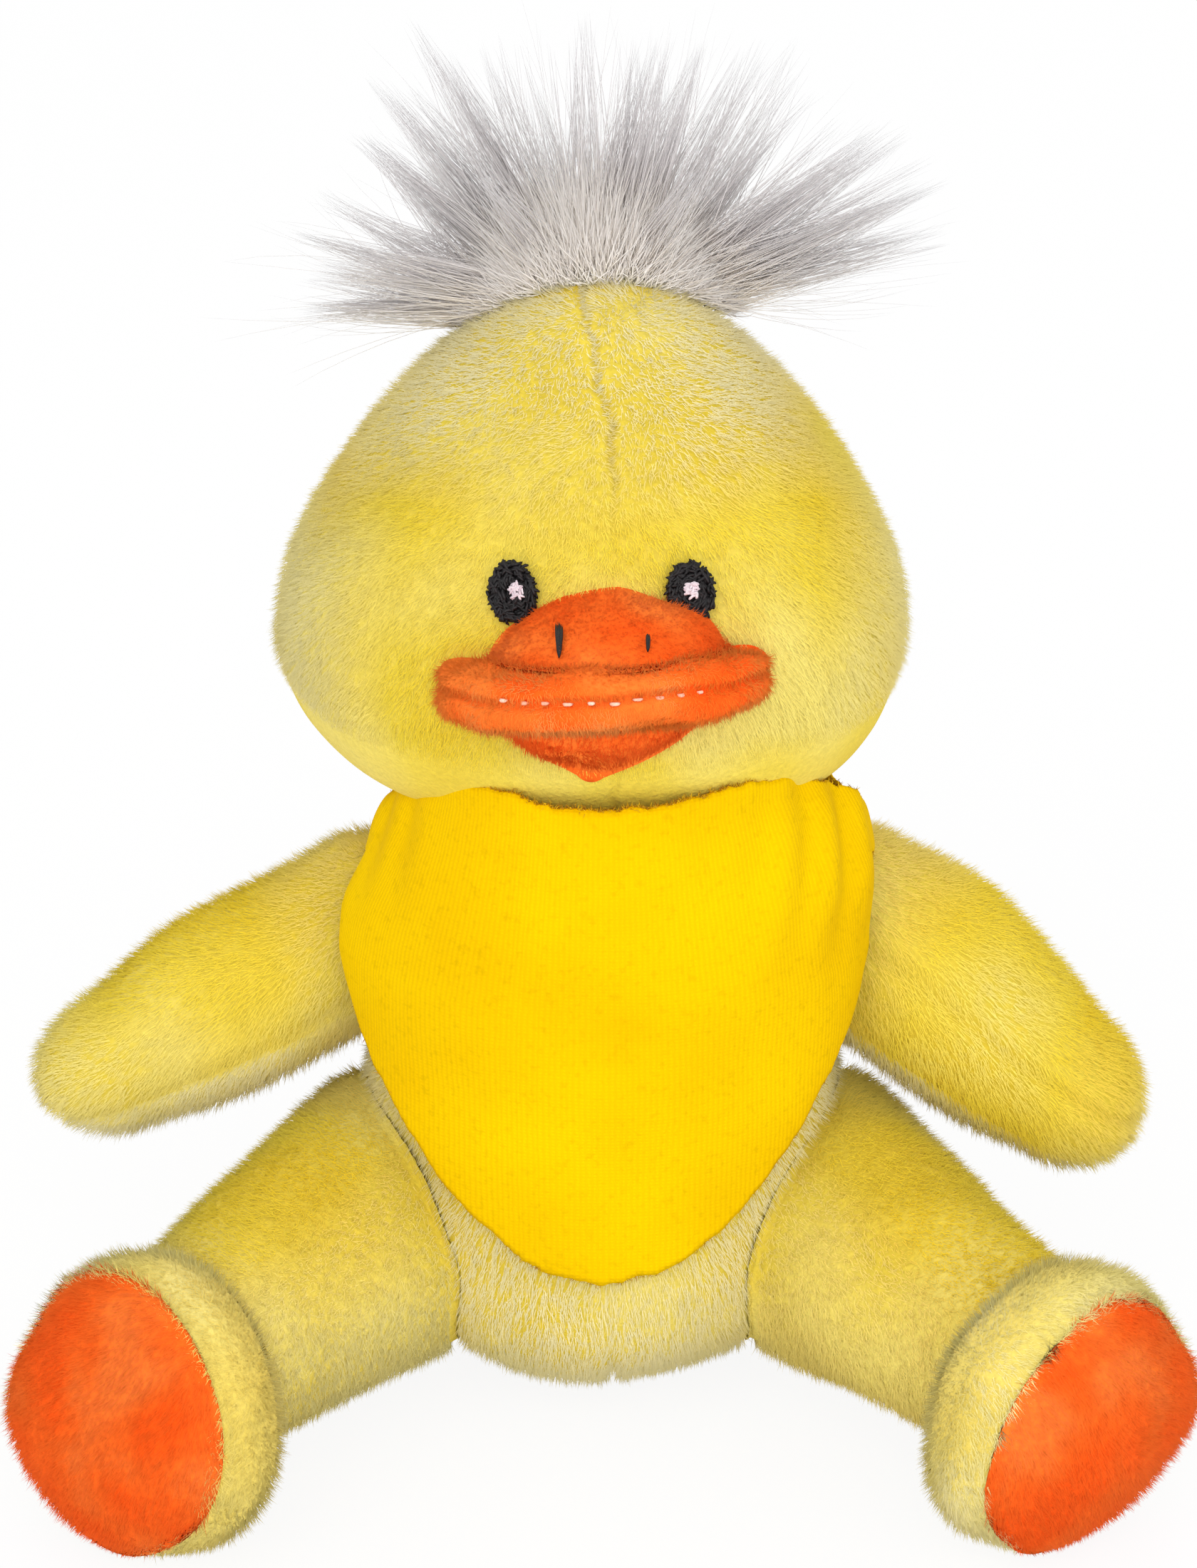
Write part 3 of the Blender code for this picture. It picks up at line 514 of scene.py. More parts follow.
def filling(name, dark, light, scale):
    b = Build(name, 1.0, sheen=0.3, specular=0.1)
    b.bump(b.noise(scale, 4.0), 0.8, 0.0006)
    return b.paint(b.ramp(b.noise(scale, 4.0), (0.3, dark), (0.7, light)))


# Strands

def spike(rings, sides):
    """One strand's triangles, by its own points, and a place in the picture for each point."""
    base, tip = (rings - 1) * sides, rings * sides
    shape = []
    for ring in range(rings - 1):
        for side in range(sides):
            a, b = ring * sides + side, ring * sides + (side + 1) % sides
            shape += [(a, b, b + sides), (a, b + sides, a + sides)]
    shape += [(base + side, base + (side + 1) % sides, tip) for side in range(sides)]
    shape += [(0, side + 1, side) for side in range(1, sides - 1)]
    places = [(0.1 + 0.8 * side / (sides - 1), 0.08 + 0.8 * ring / rings + 0.06 * (side % 2))
              for ring in range(rings) for side in range(sides)]
    return np.array(shape), np.array(places + [(0.5, 0.95)])


def strands(name, paths, radii, sides, material, shade, skin_normals=None, pale_tone_and_sheen=None):
    """One mesh of closed tapered strands, each along its own path to a point."""
    count, levels, _ = paths.shape
    heading = unit(paths[:, -1] - paths[:, 0])
    helper = np.where(np.abs(heading[:, 2:]) < 0.9, [[0, 0, 1.0]], [[1.0, 0, 0]])
    across = unit(np.cross(heading, helper))
    other = np.cross(heading, across)
    rings = levels - 1
    each = rings * sides + 1
    points = np.empty((count, each, 3))
    outward = np.empty((count, each, 3))
    along = np.empty((count, each))
    for ring in range(rings):
        for side in range(sides):
            turn = math.tau * side / sides
            ray = math.cos(turn) * across + math.sin(turn) * other
            at = ring * sides + side
            points[:, at] = paths[:, ring] + ray * radii[:, ring, None]
            outward[:, at] = ray
            along[:, at] = ring / rings
    points[:, -1] = paths[:, -1]
    outward[:, -1] = heading
    along[:, -1] = 1
    shape, places = spike(rings, sides)
    faces = (shape[None] + (np.arange(count) * each)[:, None, None]).reshape(-1, 3)
    mesh = bpy.data.meshes.new(name)
    mesh.vertices.add(count * each)
    mesh.vertices.foreach_set("co", points.astype(np.float32).ravel())
    mesh.loops.add(faces.size)
    mesh.loops.foreach_set("vertex_index", faces.astype(np.int32).ravel())
    mesh.polygons.add(len(faces))
    mesh.polygons.foreach_set("loop_start", np.arange(0, faces.size, 3, dtype=np.int32))
    mesh.polygons.foreach_set("use_smooth", np.ones(len(faces), bool))
    cells = math.ceil(math.sqrt(count))
    cell = np.stack([np.arange(count) % cells, np.arange(count) // cells], 1)
    layer = mesh.uv_layers.new(name="OFBake")
    spread = ((cell[:, None] + places[None]) / cells).reshape(-1, 2)[faces.ravel()]
    layer.uv.foreach_set("vector", spread.astype(np.float32).ravel())
    pale_tone_and_sheen = np.zeros(count) if pale_tone_and_sheen is None else pale_tone_and_sheen
    for key, values in (("along", along), ("shade", shade[:, None]), ("pale_tone_and_sheen", pale_tone_and_sheen[:, None])):
        attribute = mesh.attributes.new(key, "FLOAT", "POINT")
        attribute.data.foreach_set("value", np.broadcast_to(values, along.shape).astype(np.float32).ravel())
    mesh.materials.append(material)
    mesh.update(calc_edges=True)
    if skin_normals is not None:
        soft = unit(skin_normals[:, None] + 0.45 * outward)
        mesh.normals_split_custom_set_from_vertices(soft.reshape(-1, 3).astype(np.float32))
    return add(name, mesh)


MOST_STRANDS, QUICK_SHARE = 49000, 0.25

# How strongly the nap swirls, and over what size
SWIRL, SWIRL_SIZE = 0.28, 0.014

# Length of the pile, before each strand's own share
PILE_LENGTH = {"head": 0.0021, "torso": 0.0021, "arm": 0.0023, "leg": 0.0022, "cuff": 0.0022, "sole": 0.0021,
               "bill": 0.0014}


def scatter(item, density, seed):
    """Even random spots on a mesh, with their normals."""
    mesh = item.data
    mesh.calc_loop_triangles()
    corners = np.zeros(len(mesh.loop_triangles) * 3, np.int32)
    mesh.loop_triangles.foreach_get("vertices", corners)
    corners = corners.reshape(-1, 3)
    points, normals = read(mesh.vertices, "co"), read(mesh.vertex_normals, "vector")
    a, b, c = (points[corners[:, i]] for i in range(3))
    area = np.linalg.norm(np.cross(b - a, c - a), axis=1) / 2
    rng = np.random.default_rng(seed)
    count = int(area.sum() * density)
    at = np.searchsorted(np.cumsum(area), rng.uniform(0, area.sum(), count))
    at = np.minimum(at, len(area) - 1)
    u, v = rng.uniform(size=(2, count))
    flip = u + v > 1
    u[flip], v[flip] = 1 - u[flip], 1 - v[flip]
    share = np.stack([1 - u - v, u, v], 1)
    spot = (points[corners[at]] * share[:, :, None]).sum(1)
    normal = unit((normals[corners[at]] * share[:, :, None]).sum(1))
    return spot, normal, rng


def comb(spot, normal, nap, rng, lean, wander, seed):
    """Directions of pile that lies along the nap, swirls a little and wanders."""
    nap = nap + SWIRL * np.stack([waves(spot, SWIRL_SIZE, seed + i) for i in range(3)], 1)
    nap = unit(nap - normal * (nap * normal).sum(1, keepdims=True))
    tilt = np.clip(lean + rng.normal(0, 0.16, len(spot)), 0.05, 1.35)[:, None]
    ways = normal * np.cos(tilt) + nap * np.sin(tilt)
    return unit(ways + rng.normal(0, wander, ways.shape))


def grow_pile(name, skin, body, material, length, nap, keep, seed, density=STRANDS_PER_M2,
              width=PILE_WIDTH, lean=0.8, wander=0.18, order=None, stretch=None, joint=None, pale_tone_and_sheen=None):
    """Short pile on a skin, as pieces of closed spikes."""
    spot, normal, rng = scatter(skin, density * (1.0), seed)
    chosen = rng.uniform(size=len(spot)) < keep(spot)
    spot, normal = spot[chosen], normal[chosen]
    way = comb(spot, normal, nap(spot), rng, lean, wander, seed)
    long = length * rng.uniform(0.7, 1.15, len(spot))
    if stretch is not None:
        long = long * stretch(spot)
    shade = rng.uniform(size=len(spot))
    # Each strand's cream share: a pale tone on the torso, and painted sheen and light on the head and limbs
    pale = np.zeros(len(spot)) if pale_tone_and_sheen is None else np.clip(pale_tone_and_sheen(spot), 0, 1)
    if order is not None:
        row = np.argsort(order(spot))
        spot, normal, way, long, shade, pale = (x[row] for x in (spot, normal, way, long, shade, pale))
    parts = math.ceil(len(spot) / MOST_STRANDS)
    for part, chunk in enumerate(np.array_split(np.arange(len(spot)), parts)):
        root = spot[chunk] - normal[chunk] * 0.0001
        tip = root + way[chunk] * long[chunk, None]
        radii = np.full((len(chunk), 2), width / 2)
        label = name if parts == 1 else f"{name}_{part + 1}"
        item = strands(label, np.stack([root, tip], 1), radii, 3, material, shade[chunk], normal[chunk],
                       pale[chunk])
        carry(item, body, joint)


# Bandana's surface

# Levels of its top edge in front and behind and of its tip, and the height of its band behind
TOP_FRONT, TOP_BACK, TIP, BAND = 0.0930, 0.0800, 0.0285, 0.0060

# Half the angle that its point spans, and how far it stands from the middle in front, beside and behind
FRONT_ARC, FRONT_Y, SIDE_TOP, SIDE_LOW, BACK_R = math.radians(70), 0.0352, 0.0318, 0.0385, 0.0270
LAP = math.radians(10)
FALL = ((0.0, 0.0), (0.1, 0.08), (0.2, 0.3), (0.33, 0.62), (0.5, 0.9), (1.0, 1.0))
RISE = ((0.0, 0.0030), (0.06, 0.0044), (0.15, 0.0044), (0.3, 0.0024), (0.45, 0.0), (1.0, 0.0))
NARROW = {-1: ((0.0, -0.0072), (0.1, -0.0062), (0.2, -0.0042), (0.34, 0.0), (1.0, 0.0)),
          1: ((0.0, -0.0006), (0.1, 0.0022), (0.22, 0.0030), (0.4, 0.0004), (1.0, 0.0))}
TUCK = ((0.0, 0.0), (0.28, 0.15), (0.5, 0.75), (1.0, 1.0))
DROP = ((0.0, 1.0), (0.15, 0.974), (0.36, 0.865), (0.49, 0.765), (0.7, 0.56), (0.83, 0.41), (0.94, 0.24),
        (1.0, 0.1))
CLOTH = 0.0009


def bandana_hem(azimuth):
    """Heights of the cloth's top edge and hem at an angle from the front."""
    behind = (1 - np.cos(azimuth)) / 2
    top = TOP_FRONT + (TOP_BACK - TOP_FRONT) * smooth(behind, FALL)
    front = np.abs(azimuth) / FRONT_ARC
    drop = np.where(front < 1, (TOP_FRONT - TIP) * smooth(np.minimum(front, 1), DROP), BAND)
    return top, np.maximum(drop, BAND * 0.9)


def bandana_points(azimuth, share, ragged=0.0):
    behind = (1 - np.cos(azimuth)) / 2
    top, drop = bandana_hem(azimuth)
    height = top + (ragged + smooth(behind, RISE)) * (1 - share) - (drop - ragged) * share
    down = np.clip((TOP_FRONT - height) / (TOP_FRONT - TIP), 0, None)
    front_y = FRONT_Y + (TORSO_RADIUS + 2 * GAP - FRONT_Y) * down
    side_x = SIDE_TOP + (SIDE_LOW - SIDE_TOP) * np.clip(down / 0.4, None, 1)
    side_x = side_x + (BACK_R - side_x) * smooth(behind, TUCK)
    reach_y = front_y + (BACK_R - front_y) * behind
    fold = 0.0003 * np.cos(9 * azimuth) * (1 - down) * np.sin(np.abs(azimuth)) ** 2
    lap = (CLOTH + 2 * GAP) * np.clip((azimuth - (math.pi - LAP)) / math.radians(4), 0, 1)
    reach = fold + lap
    trim = np.where(azimuth < 0, smooth(down, NARROW[-1]), smooth(down, NARROW[1]))
    trim = trim * (1 - 0.6 * smooth(behind, TUCK)) * np.sin(azimuth) ** 2
    x = (side_x + reach + trim) * np.sin(azimuth)
    return np.stack([x, -(reach_y + reach) * np.cos(azimuth), height], -1)


def azimuth_of(spot):
    """Angle of a spot about the vertical, from the front."""
    return np.arctan2(spot[:, 0], -spot[:, 1])


def under_bandana(spot, margin=0.0012):
    """True where the cloth lies over a spot of the body."""
    top, drop = bandana_hem(azimuth_of(spot))
    return (spot[:, 2] > top - drop + margin) & (spot[:, 2] < top + 0.004)


def covered(spot):
    """True where the cloth lies over a spot that is behind the cloth's own surface."""
    return under_bandana(spot) & (np.hypot(spot[:, 0] / SIDE_LOW, spot[:, 1] / FRONT_Y) < 1.0)


# Skins

def torso_seam(z):
    """X of the front seam of the torso."""
    return 0.0009 + 0.0005 * np.sin(z * 120)


def torso_skin(material):
    rows = stuffed_rows(2 * TORSO_RADIUS, 2 * TORSO_RADIUS, TORSO_HEIGHT, TORSO_GIRTHS, -INSET, 130)
    mesh, points, normal = lathed("torso_plush", rows, 200, [material], 0.7, TORSO_HEIGHT / 2 - SEAT_CUT)
    push = lumps("torso", points)
    faint = np.clip((0.024 - points[:, 2]) / 0.018, 0, 1)
    middle = faint * groove(points[:, 0] - torso_seam(points[:, 2]), *SEAM_GROOVES["torso_front"])
    push += np.where(points[:, 1] < 0, middle, 0)
    beside = groove(points[:, 1] + 0.006, *SEAM_GROOVES["torso_side"])
    push += np.where(np.abs(points[:, 0]) > 0.01, beside, 0)
    points = points + normal * push[:, None]
    points[:, 2] = np.maximum(points[:, 2], FLOOR)
    set_vertices(mesh, points)
    nodes = ["torso_front_left", "torso_front_right", "torso_back"]
    return stuffed(mesh, nodes, "torso")


# The head's front seam: its place across and its strength, by level in the head's frame
HEAD_SEAM = ((-0.034, 0.0014), (-0.010, 0.0015), (0.012, 0.0014), (0.021, 0.0011), (0.026, -0.0003),
             (0.034, -0.0022))
SEAM_STRENGTH = ((-0.034, 0.5), (-0.016, 0.4), (-0.012, 0.2), (0.004, 0.05), (0.013, 0.2), (0.0185, 0.8),
                 (0.028, 0.7), (0.034, 0.6))


def head_seam(local):
    """How far a spot of the head is from its front seam, and how strong the seam is there."""
    z = local[:, 2]
    across = smooth(z, HEAD_SEAM) + 0.00025 * np.sin(z * 900) + 0.0002 * np.sin(z * 2300 + 1)
    return np.where(local[:, 1] < 0.0, local[:, 0] - across, 1.0), smooth(z, SEAM_STRENGTH)


def head_skin(material):
    rows = stuffed_rows(HEAD_WIDTH, HEAD_DEPTH, HEAD_HEIGHT, HEAD_GIRTHS, -INSET, 150)
    mesh, local, normal = lathed("head_plush", rows, 240, [material], 0.72)
    distance, strength = head_seam(local)
    push = lumps("head", local)
    push += strength * groove(distance, *SEAM_GROOVES["head_front"])
    beside = groove(local[:, 1] - 0.004, *SEAM_GROOVES["head_side"])
    push += np.where(np.abs(local[:, 0]) > 0.012, beside, 0)
    # Each eye's stitches pull the cloth in a little
    around = np.hypot((np.abs(local[:, 0]) - EYE_X) / 0.0065, (local[:, 2] - EYE_Z + EYE_DROP) / 0.0075)
    push += np.where(local[:, 1] < 0, -0.0011 * np.exp(-around ** 2), 0)
    local = local + normal * push[:, None]
    local[:, 0] -= np.where(local[:, 0] < 0, 0.0012, 0.0015) * np.abs(local[:, 0]) / 0.040
    points = to_world(local, FRAMES["head"])
    set_vertices(mesh, slide_out(points, (0, 0, 1), lambda p: torso_depth(p, GAP)))
    nodes = ["head_front_left", "head_front_right", "head_back", "head_stuffing"]
    return stuffed(mesh, nodes, "head")


def limb_joint(part):
    """Where a limb's cloth leaves the torso, and where it is all the limb's own."""
    near, far = (0.001, 0.030) if part.startswith("arm") else (0.010, 0.032)
    return tuple(tuple(FRAMES[part] @ Vector((0, 0, level))) for level in (near, far))


def limb_skin(part, sizes, materials, shape, extra, nodes):
    """A limb's skin: turned, shaped in its own frame, then slid clear of its neighbours."""
    rows = even_rows(limb_profile(sizes, -INSET), 130)
    mesh, local, normal = lathed(part + "_plush", rows, 128, materials)
    points = to_world(shape(local, normal), FRAMES[part])
    points = slide_out(points, along_of(part), lambda p: torso_depth(p, GAP - INSET))
    set_vertices(mesh, extra(mesh, points))
    return stuffed(mesh, [f"{part}_{node}" for node in nodes], part, limb_joint(part))


# Each arm's crease depth, root rise, fatness and shortening, to follow the photograph
ARM_LOOK = {"left": (0.0006, 0.0024, 0.09, 0.035), "right": (0.0003, 0.0010, 0.02, 0.03)}


def arm_skin(side, materials):
    part = "arm_" + side
    deep, rise, fat, short = ARM_LOOK[side]

    def shape(local, normal):
        push = lumps("arm", local, SIGN[side])
        push += groove(local[:, 0] - ARM_SEAM[side], 0.0010, deep) * (local[:, 1] * SIGN[side] > 0)
        local = local + normal * push[:, None]
        far = np.clip(local[:, 2] / ARM_LENGTH, 0, 1)
        local[:, :2] *= 1 + fat * np.sin(math.pi * far)[:, None]
        local[:, 0] += rise * (1 - far)
        if side == "left":
            hump = 0.0024 * np.exp(-((local[:, 2] - 0.013) / 0.011) ** 2)
            local[:, 0] += hump * np.clip(local[:, 0] / 0.008, 0, 1)
        else:
            local[:, 0] -= 0.0012 * far
        local[:, 2] = np.where(local[:, 2] > 0, local[:, 2] * (1 - short), local[:, 2])
        return local

    def colour_under(mesh, points):
        set_vertices(mesh, points)
        centres = to_local(read(mesh.polygons, "center"), FRAMES[part])
        mesh.polygons.foreach_set("material_index", (centres[:, 0] < ARM_PALE[side]).astype(np.int32))
        return points

    return limb_skin(part, ARM, materials, shape, colour_under, ("upper", "lower", "stuffing"))


def leg_skin(side, material):
    def shape(local, normal):
        push = lumps("leg", local, SIGN[side])
        if side == "right":
            push += 0.0010 * np.exp(-((local[:, 2] - 0.030) / 0.014) ** 2)
        return local + normal * push[:, None]

    def clear_foot(_, points):
        back = -along_of("leg_" + side)
        points = slide_out(points, back, lambda p: foot_depth(p, "foot_" + side, GAP - INSET))
        points[:, 2] = np.maximum(points[:, 2], FLOOR)
        return points

    return limb_skin("leg_" + side, LEG, [material], shape, clear_foot, ("skin", "stuffing"))


# How far the feet's outer sides stand out, by height
FOOT_SWELL = ((0.0, 0.0), (0.006, 0.0006), (0.014, 0.0016), (0.020, 0.0006), (0.028, -0.0014),
              (0.036, -0.0014))


def foot_skins(side, upper_material, sole_material):
    """The foot's upper and sole, each closed at their seam."""
    part = "foot_" + side
    edge = FOOT_RADIUS - INSET
    rows = stuffed_rows(2 * FOOT_RADIUS, 2 * FOOT_RADIUS, FOOT_DEPTH, FOOT_GIRTHS, -INSET, 110)
    made = []
    for name, sign, material, slot, nodes in (
            ("upper", -1, upper_material, "pale_plush", [f"{part}_upper", f"{part}_stuffing"]),
            ("sole", 1, sole_material, "orange_plush", [f"{part}_sole"])):
        mine = rows[(rows[:, 0] - SOLE_SEAM) * sign > 0.0001]
        wall = [(SOLE_SEAM + sign * 0.00012, w, w) for w in (edge * 0.985, edge * 0.93, edge * 0.8, 0.0)]
        mine = np.vstack([mine, wall]) if sign < 0 else np.vstack([wall[::-1], mine])
        mesh, local, normal = lathed(f"{part}_{name}_plush", mine, 128, [material])
        level = local[:, 2] - SOLE_SEAM
        push = lumps("foot", local, SIGN[side])
        push += groove(level, *SEAM_GROOVES["sole"]) * (np.abs(level) > 0.0002)
        points = to_world(local + normal * push[:, None], FRAMES[part])
        outer = np.clip((np.abs(points[:, 0]) - 0.045) / 0.025, 0, 1)
        points[:, 0] += SIGN[side] * outer * smooth(points[:, 2], FOOT_SWELL)
        points[:, 2] = np.maximum(points[:, 2], FLOOR)
        set_vertices(mesh, points)
        made.append(stuffed(mesh, nodes, "leg_" + side))
    return made


# Bill

# How square the lip's edge is, and its half sizes
LIP_SQUARE = 4.2
LIP_REACH = (LIP_WIDTH / 2 - BILL_INSET, LIP_DEPTH / 2 - BILL_INSET)

# Girths of the dome and the jaw in the photograph, the dome's shift and its half sizes
DOME_LOOK = ((0.5, 1.0), (0.7, 0.91), (0.85, 0.71), (0.95, 0.43))
DOME_SHIFT, DOME_HALF = 0.0006, (0.0149, 0.0174)
JAW_LOOK = ((0.03, 0.12), (0.08, 0.30), (0.14, 0.54), (0.22, 0.81), (0.3, 0.97), (0.5, 1.0))


def lip_middle(x, y):
    """Level of the lip's middle: its front is lifted and its left end sits higher."""
    return BILL_Z - 0.0014 + 0.0024 * np.clip((BILL_Y - y) / 0.0195, 0, 1.05) + 0.0010 * x / 0.020


def lip_half(y):
    """Half the lip's thickness, full at the front and thinner at its ends."""
    return (LIP_HEIGHT / 2 - BILL_INSET) * (0.98 + 0.10 * np.clip((BILL_Y - y) / 0.016, 0, 1))


def lip_face(x, y, side):
    """The lip's upper or lower face over a point."""
    reach = np.clip(np.hypot(x / LIP_REACH[0], (y - BILL_Y) / LIP_REACH[1]), 0, 1)
    return lip_middle(x, y) + side * lip_half(y) * (1 - reach ** LIP_SQUARE) ** (1 / LIP_SQUARE)


def bill_piece(name, local, rings, columns, material):
    """A piece of the bill, kept in front of the head."""
    front = head_front(local[:, 0], local[:, 2], GAP - INSET)
    local[:, 1] = np.where(front < 0, np.minimum(local[:, 1], front), local[:, 1])
    points = to_world(local, FRAMES["head"])
    mesh = make_mesh(name + "_plush", points, lathe_faces(rings - 1, columns), [material])
    return stuffed(mesh, [name], "head")


def lip_skin(material):
    columns, rings = 200, 72
    half = LIP_HEIGHT / 2 - BILL_INSET
    level = -half * np.cos(np.linspace(0, math.pi, rings + 1))
    value = (1 - np.abs(level / half) ** LIP_SQUARE) ** (1 / LIP_SQUARE)
    local = lathe(np.stack([level, LIP_REACH[0] * value, LIP_REACH[1] * value], 1), columns)
    outer = unit(local * [1, 1, 0])
    rim = np.hypot(local[:, 0], local[:, 1]) > 0.015
    push = -0.0009 * np.exp(-((local[:, 2] - 0.0005) / 0.0006) ** 2) * rim
    local = local + outer * push[:, None] + [0, BILL_Y, 0]
    local[:, 2] = local[:, 2] * lip_half(local[:, 1]) / half + lip_middle(local[:, 0], local[:, 1])
    local[:, 2] += lumps("lip", local)
    return bill_piece("bill_lip", local, rings, columns, material)


def dome_skin(material):
    columns, rings = 140, 90
    rows = stuffed_rows(2 * DOME_HALF[0], 2 * DOME_HALF[1], DOME_HEIGHT, DOME_LOOK, 0.0, rings)
    local = lathe(rows, columns)
    local[:, 0] += DOME_SHIFT * (1 + np.clip(local[:, 2] / (DOME_HEIGHT / 2), 0, 1))
    local += [0, BILL_Y, BILL_Z]
    local[:, 1:] += lumps("dome", local)[:, None]
    local[:, 2] = np.maximum(local[:, 2], lip_face(local[:, 0], local[:, 1], 1) + 0.0001)
    return bill_piece("bill_upper", local, rings, columns, material)


def jaw_skin(material):
    columns, rings = 140, 90
    rows = stuffed_rows(JAW_WIDTH, JAW_DEPTH, JAW_HEIGHT, JAW_LOOK, -BILL_INSET, rings)
    local = lathe(rows, columns) + [0, JAW_Y, BILL_Z]
    local[:, 0] -= 0.0006 + 0.0011 * np.clip((BILL_Z - local[:, 2]) / (JAW_HEIGHT / 2), 0, 1)
    local[:, 1:] += lumps("jaw", local)[:, None]
    local[:, 2] = np.minimum(local[:, 2], lip_face(local[:, 0], local[:, 1], -1) - 0.0001)
    return bill_piece("bill_lower", local, rings, columns, material)


# Threads

# The stitched eyes' lean, their shift across, the share of each oval that holds stitches and their lift
EYE_LEAN, EYE_SHIFT = {"left": math.radians(14), "right": 0.0}, {"left": -0.0005, "right": 0.0}
EYE_SHARE, EYE_LIFT = 0.92, 0.0007

# Places along a thread, from end to end
THREAD = np.linspace(-1, 1, 7)

# Each nostril's height, half width and level, and how far both lie from the middle
NOSTRILS = {"left": (0.0016, 0.0002, 0.0007), "right": (0.0030, 0.0005, 0.0006)}
NOSTRIL_X = 0.0053

# The lip's running stitches: the arc they span and their number
RUNNING_ARC, RUNNING_STITCHES = math.radians(80), 10

# Half widths of the threads
THREAD_RADIUS = {"eye": 0.00020, "highlight": 0.00017, "nostril": 0.00017, "bill": 0.00024}


def sewn(name, node, lines, radius, material, seed):
    """Stitches: short threads, each an arch along its own line."""
    rng = np.random.default_rng(seed)
    lines = np.array(lines)
    levels = lines.shape[1]
    profile = np.full(levels, radius)
    profile[0] *= 0.5
    profile[-2] *= 0.7
    radii = profile[None] * rng.uniform(0.85, 1.15, (len(lines), 1))
    item = strands(name, lines, radii, 5, material, rng.uniform(size=len(lines)))
    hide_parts(node)
    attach(item, "head")


def on_face(x, z, lift):
    """Points that stand off the head's front, in the world."""
    y = head_front(x, z, -INSET)
    step = 0.0004
    lean_x = (head_front(x + step, z, -INSET) - head_front(x - step, z, -INSET)) / (2 * step)
    lean_z = (head_front(x, z + step, -INSET) - head_front(x, z - step, -INSET)) / (2 * step)
    normal = unit(np.stack([lean_x, -np.ones_like(x), lean_z], -1))
    return np.stack([x, y, z], -1) + normal * np.asarray(lift)[..., None]


def eye(side, black, white):
    """An embroidered oval with a small highlight."""
    sign = SIGN[side]
    rng = np.random.default_rng(80 + sign)
    lean, centre = EYE_LEAN[side], sign * EYE_X + EYE_SHIFT[side]
    wide, tall, low = EYE_SHARE * EYE_WIDTH / 2, EYE_SHARE * EYE_HEIGHT / 2, EYE_Z - EYE_DROP
    t = THREAD

    def stitch(reach, turn, way, size, up, middle=(0, 0)):
        """One thread that crosses a place of the oval, given by its reach and turn."""
        u = reach * math.cos(turn) * wide + size * math.cos(way) * t
        v = reach * math.sin(turn) * tall + size * math.sin(way) * t
        x = centre + middle[0] + u * math.cos(lean) - v * math.sin(lean)
        z = low + middle[1] + u * math.sin(lean) + v * math.cos(lean)
        return to_world(on_face(x, z, up), FRAMES["head"])

    def scattered(count, inner, outer, half, tangled, lift, spread, middle=(0, 0)):
        reaches = np.sqrt(rng.uniform(inner ** 2, outer ** 2, count))
        turns = rng.uniform(0, math.tau, count)
        return [stitch(reach, turn, turn + math.pi / 2 + rng.normal(0, tangled), half * rng.uniform(0.7, 1.2),
                       lift + rng.uniform(0, spread) + 0.00022 * (1 - t * t), middle)
                for reach, turn in zip(reaches, turns)]

    dark = []
    for reach in np.linspace(0.04, 0.94, 15):
        for turn in np.arange(0, math.tau, 0.0011 / max(reach * EYE_WIDTH / 2, 0.0003)):
            dark.append(stitch(reach, turn, turn + math.pi / 2, 0.0008, 0.0004 + 0 * t))
    dark += scattered(210, 0.30, 0.95, 0.0007, 0.7, EYE_LIFT, 0.0003)
    dark += scattered(60, 0.88, 1.04, 0.0005, 1.2, 0.0004, 0.0004)
    sewn(f"eye_{side}_stitches", f"eye_{side}", dark, THREAD_RADIUS["eye"], black, 81 + sign)
    spot = (-sign * 0.0003 + 0.0003, 0.0002)
    light = scattered(30, 0.0, 0.27, 0.0005, 0.9, EYE_LIFT + 0.0003, 0.0002, spot)
    sewn(f"eye_{side}_highlight", f"eye_highlight_{side}", light, THREAD_RADIUS["highlight"], white,
         83 + sign)


def dome_front(x, z):
    """Y of the dome's front at a place above the lip."""
    share = np.clip((z - BILL_Z) / DOME_HEIGHT + 0.5, 0, 1)
    shift = DOME_SHIFT * (1 + np.clip((z - BILL_Z) / (DOME_HEIGHT / 2), 0, 1))
    wide = ((x - shift) / DOME_HALF[0]) ** 2
    return BILL_Y - DOME_HALF[1] * np.sqrt(np.clip(girth(share, DOME_LOOK) ** 2 - wide, 0, None))


def nostril(side, black):
    sign = SIGN[side]
    rng = np.random.default_rng(90 + sign)
    tall, wide, middle = NOSTRILS[side]
    t = THREAD
    made = []
    for _ in range(20):
        spread = rng.uniform(-wide, wide)
        x = sign * NOSTRIL_X + spread * (0.6 + 0.4 * t)
        z = middle + t * tall / 2 * rng.uniform(0.7, 1.0)
        y = dome_front(x, z)
        lift = 0.0005 + rng.uniform(0, 0.0003) + 0.0002 * (1 - t * t)
        made.append(to_world(np.stack([x, y - lift, z + lift * 0.6], -1), FRAMES["head"]))
    sewn(f"nostril_{side}_stitches", f"nostril_{side}", made, THREAD_RADIUS["nostril"], black,
         91 + sign)


